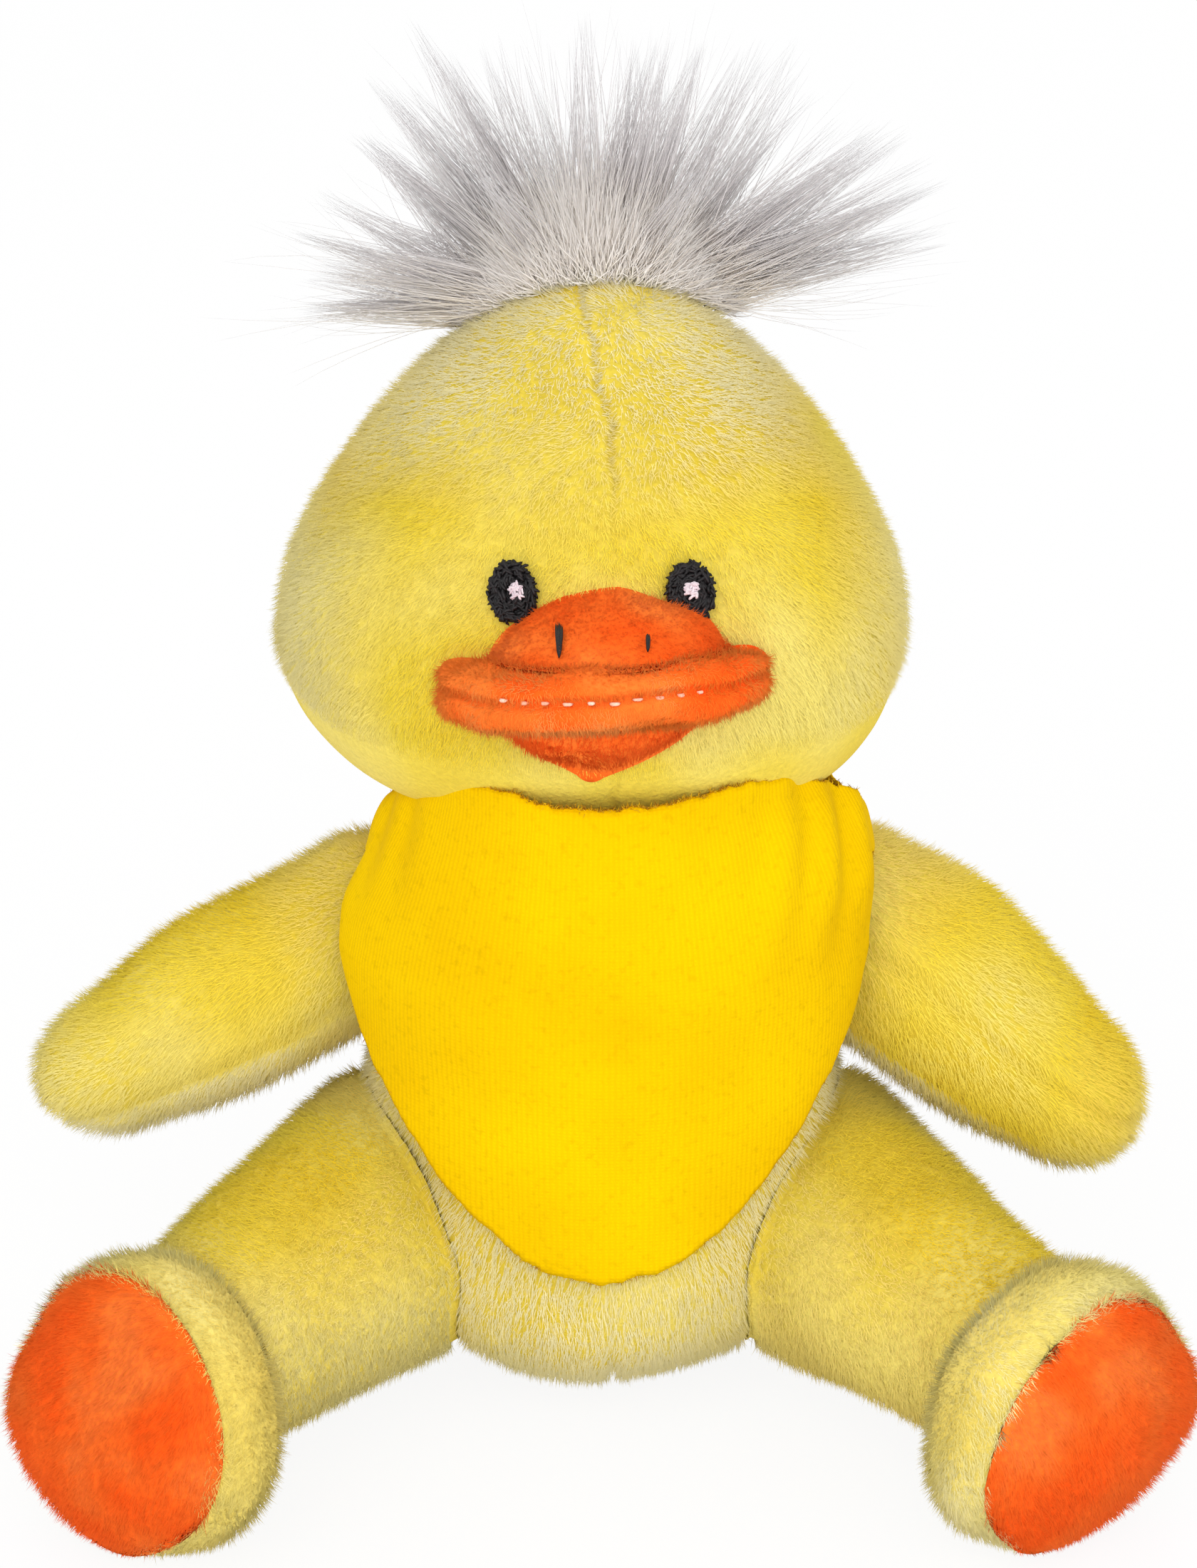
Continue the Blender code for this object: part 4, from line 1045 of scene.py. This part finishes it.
def topstitch(pale):
    """Running stitches round the lip, half sunk in its pile."""
    rng = np.random.default_rng(95)
    made = []
    for index in range(RUNNING_STITCHES):
        centre = RUNNING_ARC * ((index + 0.5) / RUNNING_STITCHES - 0.5)
        turn = centre + RUNNING_ARC / RUNNING_STITCHES * rng.uniform(0.14, 0.27) * THREAD
        sunk = rng.choice([0.0, 0.0003]) if index < 7 else 0.0006
        out = 0.0002 - sunk - 0.0004 * THREAD ** 4
        x = (LIP_REACH[0] + out) * np.sin(turn)
        y = BILL_Y - (LIP_REACH[1] + out) * np.cos(turn)
        z = lip_middle(x, y) + 0.0005 + rng.normal(0, 0.0001)
        made.append(to_world(np.stack([x, y, z], -1), FRAMES["head"]))
    sewn("bill_running_stitches", "bill_topstitch", made, THREAD_RADIUS["bill"], pale, 96)


# Bandana

# The cloth's columns and rows, and the loose fibres of each edge
CLOTH_COLUMNS, CLOTH_ROWS, EDGE_FIBRES = 420, 70, 2600

# Creases by the shoulders: angle and its spread, level and its spread, depth, waves by angle and by level
CREASES = ((0.95, 0.35, 0.084, 0.011, 0.0008, 26, -260), (-1.1, 0.3, 0.086, 0.009, 0.0005, 24, 240))


def cloth_grid(azimuth, share, ragged):
    """Points of the cloth's inner face, column by column, and their outward normals."""
    inner = np.stack([bandana_points(azimuth, np.full(len(azimuth), s), ragged) for s in share], 1)
    flat = inner.reshape(-1, 3)
    turn = np.repeat(azimuth, len(share))
    outward = unit(flat * [1, 1, 0])
    soft = 0.0006 * (1 + waves(flat, 0.026, 101)) * np.sin(np.tile(share, len(azimuth)) * math.pi) ** 0.5
    for angle, wide, level, tall, deep, by_angle, by_level in CREASES:
        near = np.exp(-((turn - angle) / wide) ** 2 - ((flat[:, 2] - level) / tall) ** 2)
        soft += near * deep * np.sin(turn * by_angle + flat[:, 2] * by_level)
    grid = (flat + outward * soft[:, None]).reshape(inner.shape)
    normal = unit(np.cross(np.gradient(grid, axis=1), np.gradient(grid, axis=0)))
    normal *= np.sign((normal * outward.reshape(grid.shape)).sum(-1, keepdims=True))
    return grid, normal


def cloth_faces(columns, rows):
    """The two faces of the cloth and the four edges between them."""
    count = (columns + 1) * (rows + 1)

    def at(column, row, layer=0):
        return layer * count + column * (rows + 1) + row

    faces = []
    for c in range(columns):
        for r in range(rows):
            faces.append((at(c, r), at(c, r + 1), at(c + 1, r + 1), at(c + 1, r)))
            faces.append((at(c, r, 1), at(c + 1, r, 1), at(c + 1, r + 1, 1), at(c, r + 1, 1)))
        faces.append((at(c, 0), at(c + 1, 0), at(c + 1, 0, 1), at(c, 0, 1)))
        faces.append((at(c, rows), at(c, rows, 1), at(c + 1, rows, 1), at(c + 1, rows)))
    for r in range(rows):
        faces.append((at(0, r), at(0, r, 1), at(0, r + 1, 1), at(0, r + 1)))
        faces.append((at(columns, r), at(columns, r + 1), at(columns, r + 1, 1), at(columns, r, 1)))
    return faces


def cut_edge(grid, normal, rng, material):
    """Loose fibres along the cloth's hem and top edge."""
    column = rng.uniform(0, CLOTH_COLUMNS - 0.001, EDGE_FIBRES)
    low = column.astype(int)
    part = (column - low)[:, None]
    roots, ways, shade = [], [], []
    for row, aim in ((CLOTH_ROWS, -1), (0, 1)):
        edge = grid[low, row] * (1 - part) + grid[low + 1, row] * part
        out = normal[low, row]
        along = unit(grid[low + 1, row] - grid[low, row])
        away = unit(np.cross(out, along)) * aim
        away *= np.sign((away * unit(grid[low, row] - grid[low, CLOTH_ROWS - row])).sum(1, keepdims=True))
        roots.append(edge + out * rng.uniform(0.1, 0.9, (EDGE_FIBRES, 1)) * CLOTH - away * 0.0002)
        ways.append(unit(away + 0.5 * rng.normal(size=(EDGE_FIBRES, 3))))
        shade.append(rng.uniform(size=EDGE_FIBRES))
    roots, ways, shade = np.vstack(roots), np.vstack(ways), np.concatenate(shade)
    long = rng.uniform(0.0004, 0.0012, len(roots))[:, None]
    middle = roots + ways * long * 0.5
    tips = roots + unit(ways + 0.35 * rng.normal(size=ways.shape)) * long
    paths = np.stack([roots, middle, tips], 1)
    return strands("bandana_cut_edge", paths, np.full((len(roots), 3), 0.00006), 3, material, shade)


def bandana(material, fringe_material):
    """The knit cloth and its cut edge."""
    azimuth = -math.pi - LAP / 2 + (math.tau + LAP) * np.linspace(0, 1, CLOTH_COLUMNS + 1)
    rng = np.random.default_rng(100)
    ragged = np.convolve(rng.normal(0, 0.0005, CLOTH_COLUMNS + 5), np.ones(3) / 3, "valid")
    grid, normal = cloth_grid(azimuth, np.linspace(0, 1, CLOTH_ROWS + 1), ragged[:CLOTH_COLUMNS + 1] * 0.7)
    flat = grid.reshape(-1, 3)
    points = np.concatenate([flat, flat + normal.reshape(-1, 3) * CLOTH])
    mesh = make_mesh("bandana_knit", points, cloth_faces(CLOTH_COLUMNS, CLOTH_ROWS), [material])
    far = np.cumsum(np.linalg.norm(np.diff(grid[:, 0], axis=0, prepend=grid[:1, 0]), axis=1))
    cloth = np.stack([np.repeat(far, CLOTH_ROWS + 1), flat[:, 2], 0 * flat[:, 2]], 1)
    attribute = mesh.attributes.new("cloth", "FLOAT_VECTOR", "POINT")
    attribute.data.foreach_set("vector", np.concatenate([cloth, cloth]).astype(np.float32).ravel())
    mesh.update()
    item = add("bandana_knit", mesh)
    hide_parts("bandana")
    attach(item, "torso")
    fringe = cut_edge(grid, normal, rng, fringe_material)
    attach(fringe, "torso")


# Tuft

# The sewn patch's middle and half sizes
PATCH_X, PATCH_Y, PATCH_WIDE, PATCH_DEEP = -0.0010, 0.0045, 0.0160, 0.0088

# Locks: place across and along the patch, way across and forward in degrees, length, strands
LOCKS = ((-0.80, -0.10, -91, 0, 0.0265, 1.0), (-0.75, 0.05, -80, 8, 0.0290, 1.3),
         (-0.70, -0.25, -71, -10, 0.0290, 1.2), (-0.62, 0.20, -62, 6, 0.0265, 0.8),
         (-0.52, -0.10, -50, 2, 0.0315, 1.5), (-0.40, 0.10, -38, 4, 0.0345, 1.5),
         (-0.27, -0.05, -27, 0, 0.0365, 1.4), (-0.22, 0.30, -18, 6, 0.0345, 0.5),
         (-0.10, 0.10, -9, 3, 0.0325, 0.4), (0.02, 0.00, 2, 0, 0.0330, 0.5),
         (0.14, -0.10, 10, 2, 0.0340, 1.2), (0.22, 0.15, 16, 4, 0.0350, 1.0),
         (0.36, 0.00, 29, 0, 0.0330, 0.7), (0.45, 0.20, 38, 6, 0.0340, 0.8),
         (0.54, -0.10, 49, 0, 0.0335, 1.3), (0.62, 0.10, 58, 4, 0.0345, 1.0),
         (0.70, -0.15, 66, -6, 0.0345, 1.4), (0.80, 0.05, 76, 2, 0.0330, 1.0),
         (-0.50, 0.60, -42, 30, 0.0280, 0.8), (-0.15, 0.65, -14, 34, 0.0290, 0.8),
         (0.20, 0.65, 16, 32, 0.0290, 0.8), (0.52, 0.60, 44, 28, 0.0280, 0.8),
         (-0.35, -0.55, -34, -30, 0.0230, 0.5), (0.30, -0.55, 30, -32, 0.0230, 0.5))

# Width of each strand at its levels, as a share
LONG_TAPER, WOOL_TAPER = (1.0, 1.0, 0.92, 0.8, 0.62, 0.4, 0.0), (1.0, 0.9, 0.7, 0.0)

# Most strands in one piece of the long hair, and of the undercoat
MOST_LONG, MOST_WOOL = 5400, 12000


def scalp(u, v):
    """A point of the head's top under the patch, in the head's frame, u and v from -1 to 1."""
    x, y = PATCH_X + u * PATCH_WIDE, PATCH_Y + v * PATCH_DEEP
    level = np.linspace(0.012, HEAD_HEIGHT / 2 - INSET, 160)
    reach = girth(level / (HEAD_HEIGHT - 2 * INSET) + 0.5, HEAD_GIRTHS)
    far = np.hypot(x / (HEAD_WIDTH / 2), y / (HEAD_DEPTH / 2))
    return np.stack([x, y, np.interp(-far, -reach, level)], -1)


def scalp_inside(u, v):
    """The same, with places beyond the patch's edge brought in to it."""
    far = np.maximum(np.hypot(u, v), 1)
    return scalp(u / far, v / far)


def heading(fan, lean):
    return np.stack([np.sin(fan) * np.cos(lean), np.sin(lean), np.cos(lean) * np.cos(fan)], -1)


def bent(root, bow, tip, levels):
    s = np.linspace(0, 1, levels)[None, :, None]
    return root[:, None] * (1 - s) ** 2 + 2 * bow[:, None] * s * (1 - s) + tip[:, None] * s ** 2


def lock(rng, u0, v0, fan, lean, length, amount):
    """A pointed lock: paths, widths and shades of its strands."""
    each = int(amount * rng.uniform(0.5, 1.3))
    way = heading(fan + rng.normal(0, math.radians(3.5)), lean + rng.normal(0, math.radians(6)))
    here = (u0 + rng.normal(0, 0.06), v0 + rng.normal(0, 0.12))
    whole = length * rng.uniform(0.84, 1.05)
    root = scalp_inside(here[0] + rng.normal(0, 0.11, each), here[1] + rng.normal(0, 0.18, each))
    centre = scalp(np.array([here[0]]), np.array([here[1]]))[0]
    long = whole * (1 - 0.5 * rng.uniform(0, 1, each) ** 1.8)
    gather = rng.uniform(0.84, 1.0, each)[:, None]
    goal = centre + way * long[:, None]
    own = root + unit(way + rng.normal(0, 0.10, (each, 3))) * long[:, None]
    tip = own * (1 - gather) + goal * gather + rng.normal(0, 0.0005, (each, 3))
    bow = root + way * long[:, None] * 0.5 + rng.normal(0, 0.0005, (each, 3))
    width = rng.uniform(0.00005, 0.00009, each)
    return bent(root, bow, tip, len(LONG_TAPER)), width, np.clip(rng.normal(0.55, 0.25, each), 0, 1)


def strays(rng, count):
    """Single fine strands between the locks."""
    u, v = rng.uniform(-0.9, 0.9, (2, count))
    root = scalp_inside(u, v)
    way = heading(u * math.radians(104) + rng.normal(0, 0.12, count), v * math.radians(36))
    long = rng.uniform(0.018, 0.036, count)[:, None]
    tip = root + way * long + rng.normal(0, 0.0022, (count, 3))
    bow = root + way * long * 0.55 + rng.normal(0, 0.0018, (count, 3))
    return bent(root, bow, tip, len(LONG_TAPER)), np.full(count, 0.00004), rng.uniform(size=count)


def undercoat(rng, count):
    """Paths of the short wool under the locks."""
    u, v = rng.uniform(-1, 1, (2, count * 2))
    inside = np.hypot(u, v) < 1.0
    u, v = u[inside][:count], v[inside][:count]
    root = scalp(u, v)
    way = heading(u * math.radians(74), v * math.radians(46))
    way = unit(way + rng.normal(0, 0.20, way.shape))
    edge = 1 - 0.5 * np.hypot(u, v) ** 2.5
    tall = rng.uniform(size=len(u)) < 0.5
    high = rng.uniform(0.010, 0.020, len(u)) * (1 - 0.7 * np.abs(u) ** 1.3)
    long = (np.where(tall, high, rng.uniform(0.004, 0.010, len(u))) * edge)[:, None]
    bow = root + way * long * 0.5 + rng.normal(0, 0.0005, way.shape)
    tip = root + way * long + rng.normal(0, 0.0007, way.shape)
    return bent(root, bow, tip, len(WOOL_TAPER))


def tuft_pieces(name, paths, radii, most, material, shade, soft):
    """Strands of the head's frame as pieces that ride on the head."""
    world = to_world(paths.reshape(-1, 3), FRAMES["head"]).reshape(paths.shape)
    pieces = []
    for part, chunk in enumerate(np.array_split(np.arange(len(world)), math.ceil(len(world) / most)), 1):
        normals = unit(world[chunk, -1] - world[chunk, 0]) if soft else None
        item = strands(f"{name}_{part}", world[chunk], radii[chunk], 3, material, shade[chunk], normals)
        pieces.append(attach(item, "head"))
    return pieces


def tuft(grey, cream):
    """Long silky pile in pointed locks over a cream undercoat."""
    rng = np.random.default_rng(200)
    in_lock, single, short = ((44, 340, 13000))
    grown = []
    for u0, v0, fan, lean, length, amount in LOCKS:
        # Each lock is really three, a little apart
        for _ in range(3):
            grown.append(lock(rng, u0, v0, math.radians(fan), math.radians(lean), length, in_lock * amount))
    grown.append(strays(rng, single))
    paths, widths, shade = (np.concatenate(values) for values in zip(*grown))
    pieces = tuft_pieces("tuft_long", paths, widths[:, None] * LONG_TAPER, MOST_LONG, grey, shade, False)
    wool = undercoat(rng, short)
    radii = np.tile(0.00008 * np.array(WOOL_TAPER), (len(wool), 1))
    tuft_pieces("tuft_undercoat", wool, radii, MOST_WOOL, cream, rng.uniform(size=len(wool)), True)
    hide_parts("tuft")


# Pile on every skin

def tuft_patch(spot):
    """True where the tuft's patch covers the head."""
    local = to_local(spot, FRAMES["head"])
    inside = np.hypot((local[:, 0] - PATCH_X) / PATCH_WIDE, (local[:, 1] - PATCH_Y) / PATCH_DEEP) < 1
    return inside & (local[:, 2] > 0.02)


def away(way):
    """A nap that points one way everywhere."""
    return lambda spot: np.repeat(np.array([way], float), len(spot), 0)


def near_floor(spot):
    """Pile is shorter close to what the duck sits on."""
    return np.clip(spot[:, 2] / 0.006, 0.4, 1)


def eye_reach(local):
    """How far a spot of the head is from the nearer eye's middle, in half widths of the eye."""
    return np.hypot((np.abs(local[:, 0]) - EYE_X) / (EYE_WIDTH / 2),
                    (local[:, 2] - EYE_Z + EYE_DROP) / (EYE_HEIGHT / 2))


def head_pile(skin, tone):
    def keep(spot):
        local = to_local(spot, FRAMES["head"])
        distance, strength = head_seam(local)
        x, z = local[:, 0], local[:, 2] - BILL_Z
        chance = np.ones(len(spot))
        chance[tuft_patch(spot)] = 0.25
        chance[(np.abs(distance) < 0.0002) & (strength > 0.5)] = 0.4
        chance[(eye_reach(local) < 0.9) & (local[:, 1] < 0)] = 0
        bill = np.hypot(x / (LIP_WIDTH / 2 - 0.0005), z / (LIP_HEIGHT / 2 - 0.0005)) < 1
        bill |= np.hypot(x / 0.0138, z / 0.0082) < 1
        bill |= (np.hypot(x / 0.0125, z / 0.0120) < 1) & (z < 0)
        chance[bill & (local[:, 1] < -0.01)] = 0
        chance[torso_depth(spot, 0.0015) > 0] = 0
        # None grows where the cloth's top edge comes when the head turns
        azimuth = np.abs(azimuth_of(spot))
        turned = np.maximum(azimuth - 0.2, 0)
        edge = bandana_hem(turned)[0] + smooth((1 - np.cos(turned)) / 2, RISE)
        room = 0.0003 - 0.0010 * np.clip((0.24 - azimuth) / 0.1, 0, 1)
        chance[(azimuth < 1.65) & (spot[:, 2] < np.maximum(edge, 0.0940) + room)] = 0
        return chance

    def nap(spot):
        local = to_local(spot, FRAMES["head"]) / 0.04
        return np.stack([0.35 * local[:, 0], 0.3 * local[:, 1], np.full(len(spot), -1.0)], 1)

    def stretch(spot):
        local = to_local(spot, FRAMES["head"])
        distance, strength = head_seam(local)
        near_seam = np.exp(-(distance / 0.0012) ** 2) * strength
        near_eye = np.clip((eye_reach(local) - 0.9) / 0.5, 0.45, 1)
        # Shorter all round down to the cloth's top edge
        under = np.clip((spot[:, 2] - 0.0985) / 0.006, 0.08, 1)
        return (1 - 0.3 * near_seam) * np.where(local[:, 1] < 0, near_eye, 1) * under

    # Painted sheen and light: the pile is paler on the head's top, at its sides and under the chin
    def pale_tone_and_sheen(spot):
        local = to_local(spot, FRAMES["head"])
        top = 0.95 * np.clip((local[:, 2] - 0.011 - 0.004 * waves(local, 0.03, 7)) / 0.014, 0, 1)
        side = 0.6 * np.clip((np.abs(local[:, 0]) - 0.026) / 0.012, 0, 1)
        chin = 0.15 * np.clip((-0.017 - local[:, 2]) / 0.01, 0, 1)
        return top + side + chin

    grow_pile("head_pile", skin, "head", tone, PILE_LENGTH["head"], nap, keep, 301,
              density=6.5e6, stretch=stretch, pale_tone_and_sheen=pale_tone_and_sheen, order=azimuth_of)


def torso_pile(skin, tone):
    def keep(spot):
        chance = np.where(under_bandana(spot), 0.0, 1.0)
        for part in ("arm_left", "arm_right", "leg_left", "leg_right"):
            chance[limb_depth(spot, part) > 0.0001] = 0
        chance[(spot[:, 2] < PILE_FLOOR) | (spot[:, 2] > 0.0795)] = 0
        seam = np.abs(spot[:, 0] - torso_seam(spot[:, 2])) < 0.0003
        chance[seam & (spot[:, 1] < 0) & (spot[:, 2] < 0.016)] *= 0.5
        return chance

    grow_pile("torso_pile", skin, "torso", tone, PILE_LENGTH["torso"], away((0, 0, -1)), keep,
              302, density=5.5e6, stretch=near_floor, pale_tone_and_sheen=lambda spot: 0.68 + 0.25 * waves(spot, 0.03, 8),
              order=azimuth_of)


def limb_painted_sheen(part, length):
    """Painted sheen and light: paler toward a limb's end and its underside, and near its root."""
    def pale_tone_and_sheen(spot):
        local = to_local(spot, FRAMES[part])
        level = local[:, 2] - 0.003 * waves(local, 0.025, 9)
        end = 0.35 * np.clip((level / length - 0.72) / 0.25, 0, 1)
        root = 0.3 * np.clip((0.012 - level) / 0.012, 0, 1)
        return end + root + 0.35 * np.clip((-0.006 - local[:, 0]) / 0.004, 0, 1)
    return pale_tone_and_sheen


def arm_piles(side, skin, tones):
    """The upper panel's pile and the paler one underneath."""
    part = "arm_" + side
    nap = away(along_of(part) + [0, 0, -0.35])
    for upper, slot in ((True, "yellow_plush"), (False, "pale_plush")):
        def keep(spot, upper=upper):
            chance = ((to_local(spot, FRAMES[part])[:, 0] > ARM_PALE[side]) == upper).astype(float)
            chance[(torso_depth(spot, 0.0001) > 0) | covered(spot)] = 0
            return chance

        grow_pile(f"{part}_pile_{'upper' if upper else 'under'}", skin, part, tones[slot],
                  PILE_LENGTH["arm"], nap, keep, 310 + SIGN[side] + upper, joint=limb_joint(part),
                  pale_tone_and_sheen=limb_painted_sheen(part, ARM_LENGTH))


def leg_pile(side, skin, tone):
    part = "leg_" + side

    def keep(spot):
        hidden = (torso_depth(spot, 0.0001) > 0) | (foot_depth(spot, "foot_" + side, 0.0001) > 0)
        return np.where(hidden | (spot[:, 2] < PILE_FLOOR) | covered(spot), 0.0, 1.0)

    grow_pile(part + "_pile", skin, part, tone, PILE_LENGTH["leg"],
              away(along_of(part) + [0, 0, -0.2]), keep, 320 + SIGN[side], joint=limb_joint(part),
              pale_tone_and_sheen=limb_painted_sheen(part, LEG_LENGTH * 1.3), stretch=near_floor)


def foot_piles(side, skins, upper_tone, sole_tone):
    foot, leg, sign = "foot_" + side, "leg_" + side, SIGN[side]

    def keep_sole(spot):
        level = to_local(spot, FRAMES[foot])[:, 2]
        return np.where((np.abs(level - SOLE_SEAM) < 0.0002) | (spot[:, 2] < PILE_FLOOR), 0.0, 1.0)

    def keep_upper(spot):
        return np.where(limb_depth(spot, leg) > 0.0002, 0.0, keep_sole(spot))

    def radial(spot):
        """Away from the foot's own axis."""
        local = to_local(spot, FRAMES[foot]) * [1, 1, 0]
        return unit(local @ np.array(FRAMES[foot].to_3x3()).T)

    grow_pile(foot + "_pile_upper", skins[0], leg, upper_tone, PILE_LENGTH["cuff"],
              lambda spot: radial(spot) + along_of(foot) * 0.8, keep_upper, 330 + sign, stretch=near_floor)
    grow_pile(foot + "_pile_sole", skins[1], leg, sole_tone, PILE_LENGTH["sole"],
              lambda spot: radial(spot) * 0.4 + [0.6 * sign, 0, -0.8], keep_sole, 340 + sign,
              density=6.5e6, lean=0.95, stretch=near_floor)


def bill_piles(skins, tones):
    def keep(spot):
        local = to_local(spot, FRAMES["head"])
        x, y, z = local.T
        chance = np.where(head_depth(local, 0.0003) > 0, 0.0, 1.0)
        inner = np.hypot(x / (LIP_WIDTH / 2), (y - BILL_Y) / (LIP_DEPTH / 2)) < 0.9
        under_dome = np.hypot(x / DOME_HALF[0], (y - BILL_Y) / DOME_HALF[1]) < 0.86
        over_jaw = np.hypot(x / (JAW_WIDTH / 2), (y - JAW_Y) / (JAW_DEPTH / 2)) < 0.86
        for face, joined in ((1, under_dome), (-1, over_jaw)):
            chance[inner & joined & (np.abs(z - lip_face(x, y, face)) < 0.0005)] = 0
        return chance

    for seed, (name, skin) in enumerate(skins.items(), 351):
        grow_pile(name + "_pile", skin, "head", tones[name], PILE_LENGTH["bill"],
                  away((0, -0.6, -0.6)), keep, seed, density=8.0e6, width=0.00012, wander=0.34)


def all_pile(skins):
    yellow = plush_pile("yellow_pile", *YELLOW)
    arm_tone = plush_pile("arm_pile", *YELLOW, patch=34.0, seed=0.31)
    leg_tone = plush_pile("leg_pile", *YELLOW, seed=0.57, sheen=0.34)
    belly = plush_pile("belly_pile", "f8e070", "fae886", "fcf0ac", seed=0.83)
    pale = plush_pile("pale_pile", *PALE, patch=40.0, seed=0.2)
    orange = plush_pile("orange_pile", *ORANGE, patch=90.0, seed=0.4, sheen=0.2)
    head_pile(skins["head"], yellow)
    torso_pile(skins["torso"], belly)
    for side in SIGN:
        arm_piles(side, skins["arm_" + side], {"yellow_plush": arm_tone, "pale_plush": pale})
        leg_pile(side, skins["leg_" + side], leg_tone)
        foot_piles(side, skins["foot_" + side], pale, orange)
    bill_piles({name: skins[name] for name in ("bill_upper", "bill_lip", "bill_lower")},
               {"bill_upper": orange,
                "bill_lip": plush_pile("lip_pile_painted_light", *LIP_PAINTED_LIGHT_TONES, patch=90.0, seed=0.5, sheen=0.2),
                "bill_lower": plush_pile("jaw_pile_painted_shade", *JAW_PAINTED_SHADE_TONES, patch=90.0, seed=0.6, sheen=0.1)})


# Stage

def camera_sees(tree, *kinds):
    """One where a ray comes from the camera, or is one of the other kinds."""
    path = tree.nodes.new("ShaderNodeLightPath")
    seen = path.outputs["Is Camera Ray"]
    for kind in kinds:
        seen = new_node(tree, "Math", seen, path.outputs[f"Is {kind} Ray"], operation="MAXIMUM").outputs[0]
    return seen


# Each lamp's name, place, width and watts
LAMPS = (("key", (-0.35, -1.25, 0.95), 1.1, 11.0), ("fill", (0.55, -1.20, 0.62), 1.1, 6.5),
         ("rim", (0.2, 1.1, 1.2), 0.9, 3.0))


def studio():
    """A white surround, a pale floor and three soft lamps."""
    scene = bpy.context.scene
    scene.view_settings.view_transform = "Standard"
    scene.world = bpy.data.worlds.new("studio_world")
    scene.world.use_nodes = True
    tree = scene.world.node_tree
    back = tree.nodes["Background"]
    back.inputs["Color"].default_value = (1, 1, 1, 1)
    level = new_node(tree, "MapRange", camera_sees(tree, "Glossy", "Transmission"), To_Min=0.76, To_Max=1.0)
    tree.links.new(level.outputs[0], back.inputs["Strength"])
    corners = [(-4, -4, 0), (4, -4, 0), (4, 4, 0), (-4, 4, 0)]
    add("floor", make_mesh("floor", corners, [(0, 1, 2, 3)], [floor_material()]))
    for name, spot, size, power in LAMPS:
        lamp = bpy.data.lights.new(name, "AREA")
        lamp.energy = power
        lamp.size = size
        item = add(name, lamp)
        item.location = spot
        aim = Vector((0, 0, 0.08)) - Vector(spot)
        item.rotation_euler = aim.to_track_quat("-Z", "Y").to_euler()


def floor_material():
    """White, with most of what the camera sees of it at plain white, so that the shadow stays faint."""
    material = bpy.data.materials.new("floor_white")
    material.use_nodes = True
    tree = material.node_tree
    shader = tree.nodes["Principled BSDF"]
    shader.inputs["Roughness"].default_value = 1.0
    shader.inputs["Specular IOR Level"].default_value = 0.0
    ramp = new_node(tree, "ValToRGB", new_node(tree, "TexNoise", Scale=3.0).outputs["Fac"])
    for element, grey in zip(ramp.color_ramp.elements, (0.93, 0.95)):
        element.color = (grey, grey, grey, 1)
    tree.links.new(ramp.outputs["Color"], shader.inputs["Base Color"])
    glow = new_node(tree, "Emission", Strength=1.0)
    share = new_node(tree, "Math", camera_sees(tree, "Glossy"), operation="MULTIPLY")
    share.inputs[1].default_value = 0.9
    mix = new_node(tree, "MixShader", share.outputs[0], shader.outputs[0], glow.outputs[0])
    tree.links.new(mix.outputs[0], tree.nodes["Material Output"].inputs["Surface"])
    return material


# The camera's distance, the height that it frames there, where it looks and how far it looks down
CAMERA_FAR, CAMERA_HEIGHT = 0.80, 0.2018
CAMERA_TARGET, CAMERA_TILT = Vector((-0.0006, 0, 0.083)), math.radians(25)


def camera():
    data = bpy.data.cameras.new("camera")
    item = add("camera", data)
    ray = Vector((0, -math.cos(CAMERA_TILT), math.sin(CAMERA_TILT)))
    item.location = CAMERA_TARGET + ray * CAMERA_FAR
    item.rotation_euler = (math.pi / 2 - CAMERA_TILT, 0, 0)
    data.sensor_fit = "VERTICAL"
    data.sensor_height = 36.0
    data.lens = data.sensor_height * CAMERA_FAR / CAMERA_HEIGHT
    data.clip_start = 0.05
    data.clip_end = 20
    bpy.context.scene.camera = item


def inner_parts():
    """The fillings that stay as packed, each with its own woolly finish."""
    fibre = filling("fibre_filling", "dedcd6", "f4f3f0", 420)
    finishes = {"pellet_pouch": filling("pellet_bag_cloth", "cdc6b8", "dcd6ca", 900),
                "bandana_tack_stitch": thread("tack_thread", "e8a070", "f4c090")}
    for name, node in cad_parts.items():
        if node.hide_render:
            continue
        for place in node.material_slots:
            place.material = finishes.get(name, fibre)


def main():
    camera()
    studio()
    yellow = plush_skin("yellow_cloth", "dcc038", "e4cc4c", "e8d672")
    pale = plush_skin("pale_cloth", "ecd468", "f0de7c", "f4e8a0", seed=0.2)
    orange = plush_skin("orange_cloth", "ff5c14", "ff6c20", "ff8030", patch=90.0, seed=0.4)
    black = thread("black_thread_stitched", "050405", "1c1618")
    white = thread("white_thread_stitched", "d8c4cc", "f4e8ec")
    skins = {
        "torso": torso_skin(yellow),
        "head": head_skin(yellow),
        "bill_lip": lip_skin(orange),
        "bill_upper": dome_skin(orange),
        "bill_lower": jaw_skin(orange),
    }
    for side in SIGN:
        skins["arm_" + side] = arm_skin(side, [yellow, pale])
        skins["leg_" + side] = leg_skin(side, yellow)
        skins["foot_" + side] = foot_skins(side, pale, orange)
        eye(side, black, white)
        nostril(side, black)
    topstitch(thread("pale_thread_stitched", "ffb090", "ffd8c0"))
    bandana(knit("yellow_knit"), thread("knit_fibres", "b07010", "ffd210", 0.9))
    all_pile(skins)
    tuft(fur("grey_fur", "fff4dc", "f8ece0", "e0d9d8", "c6c0c3"),
         fur("cream_fur", "fff0c4", "fff4d8", "fff0de", "f4e8e0"))
    inner_parts()


main()
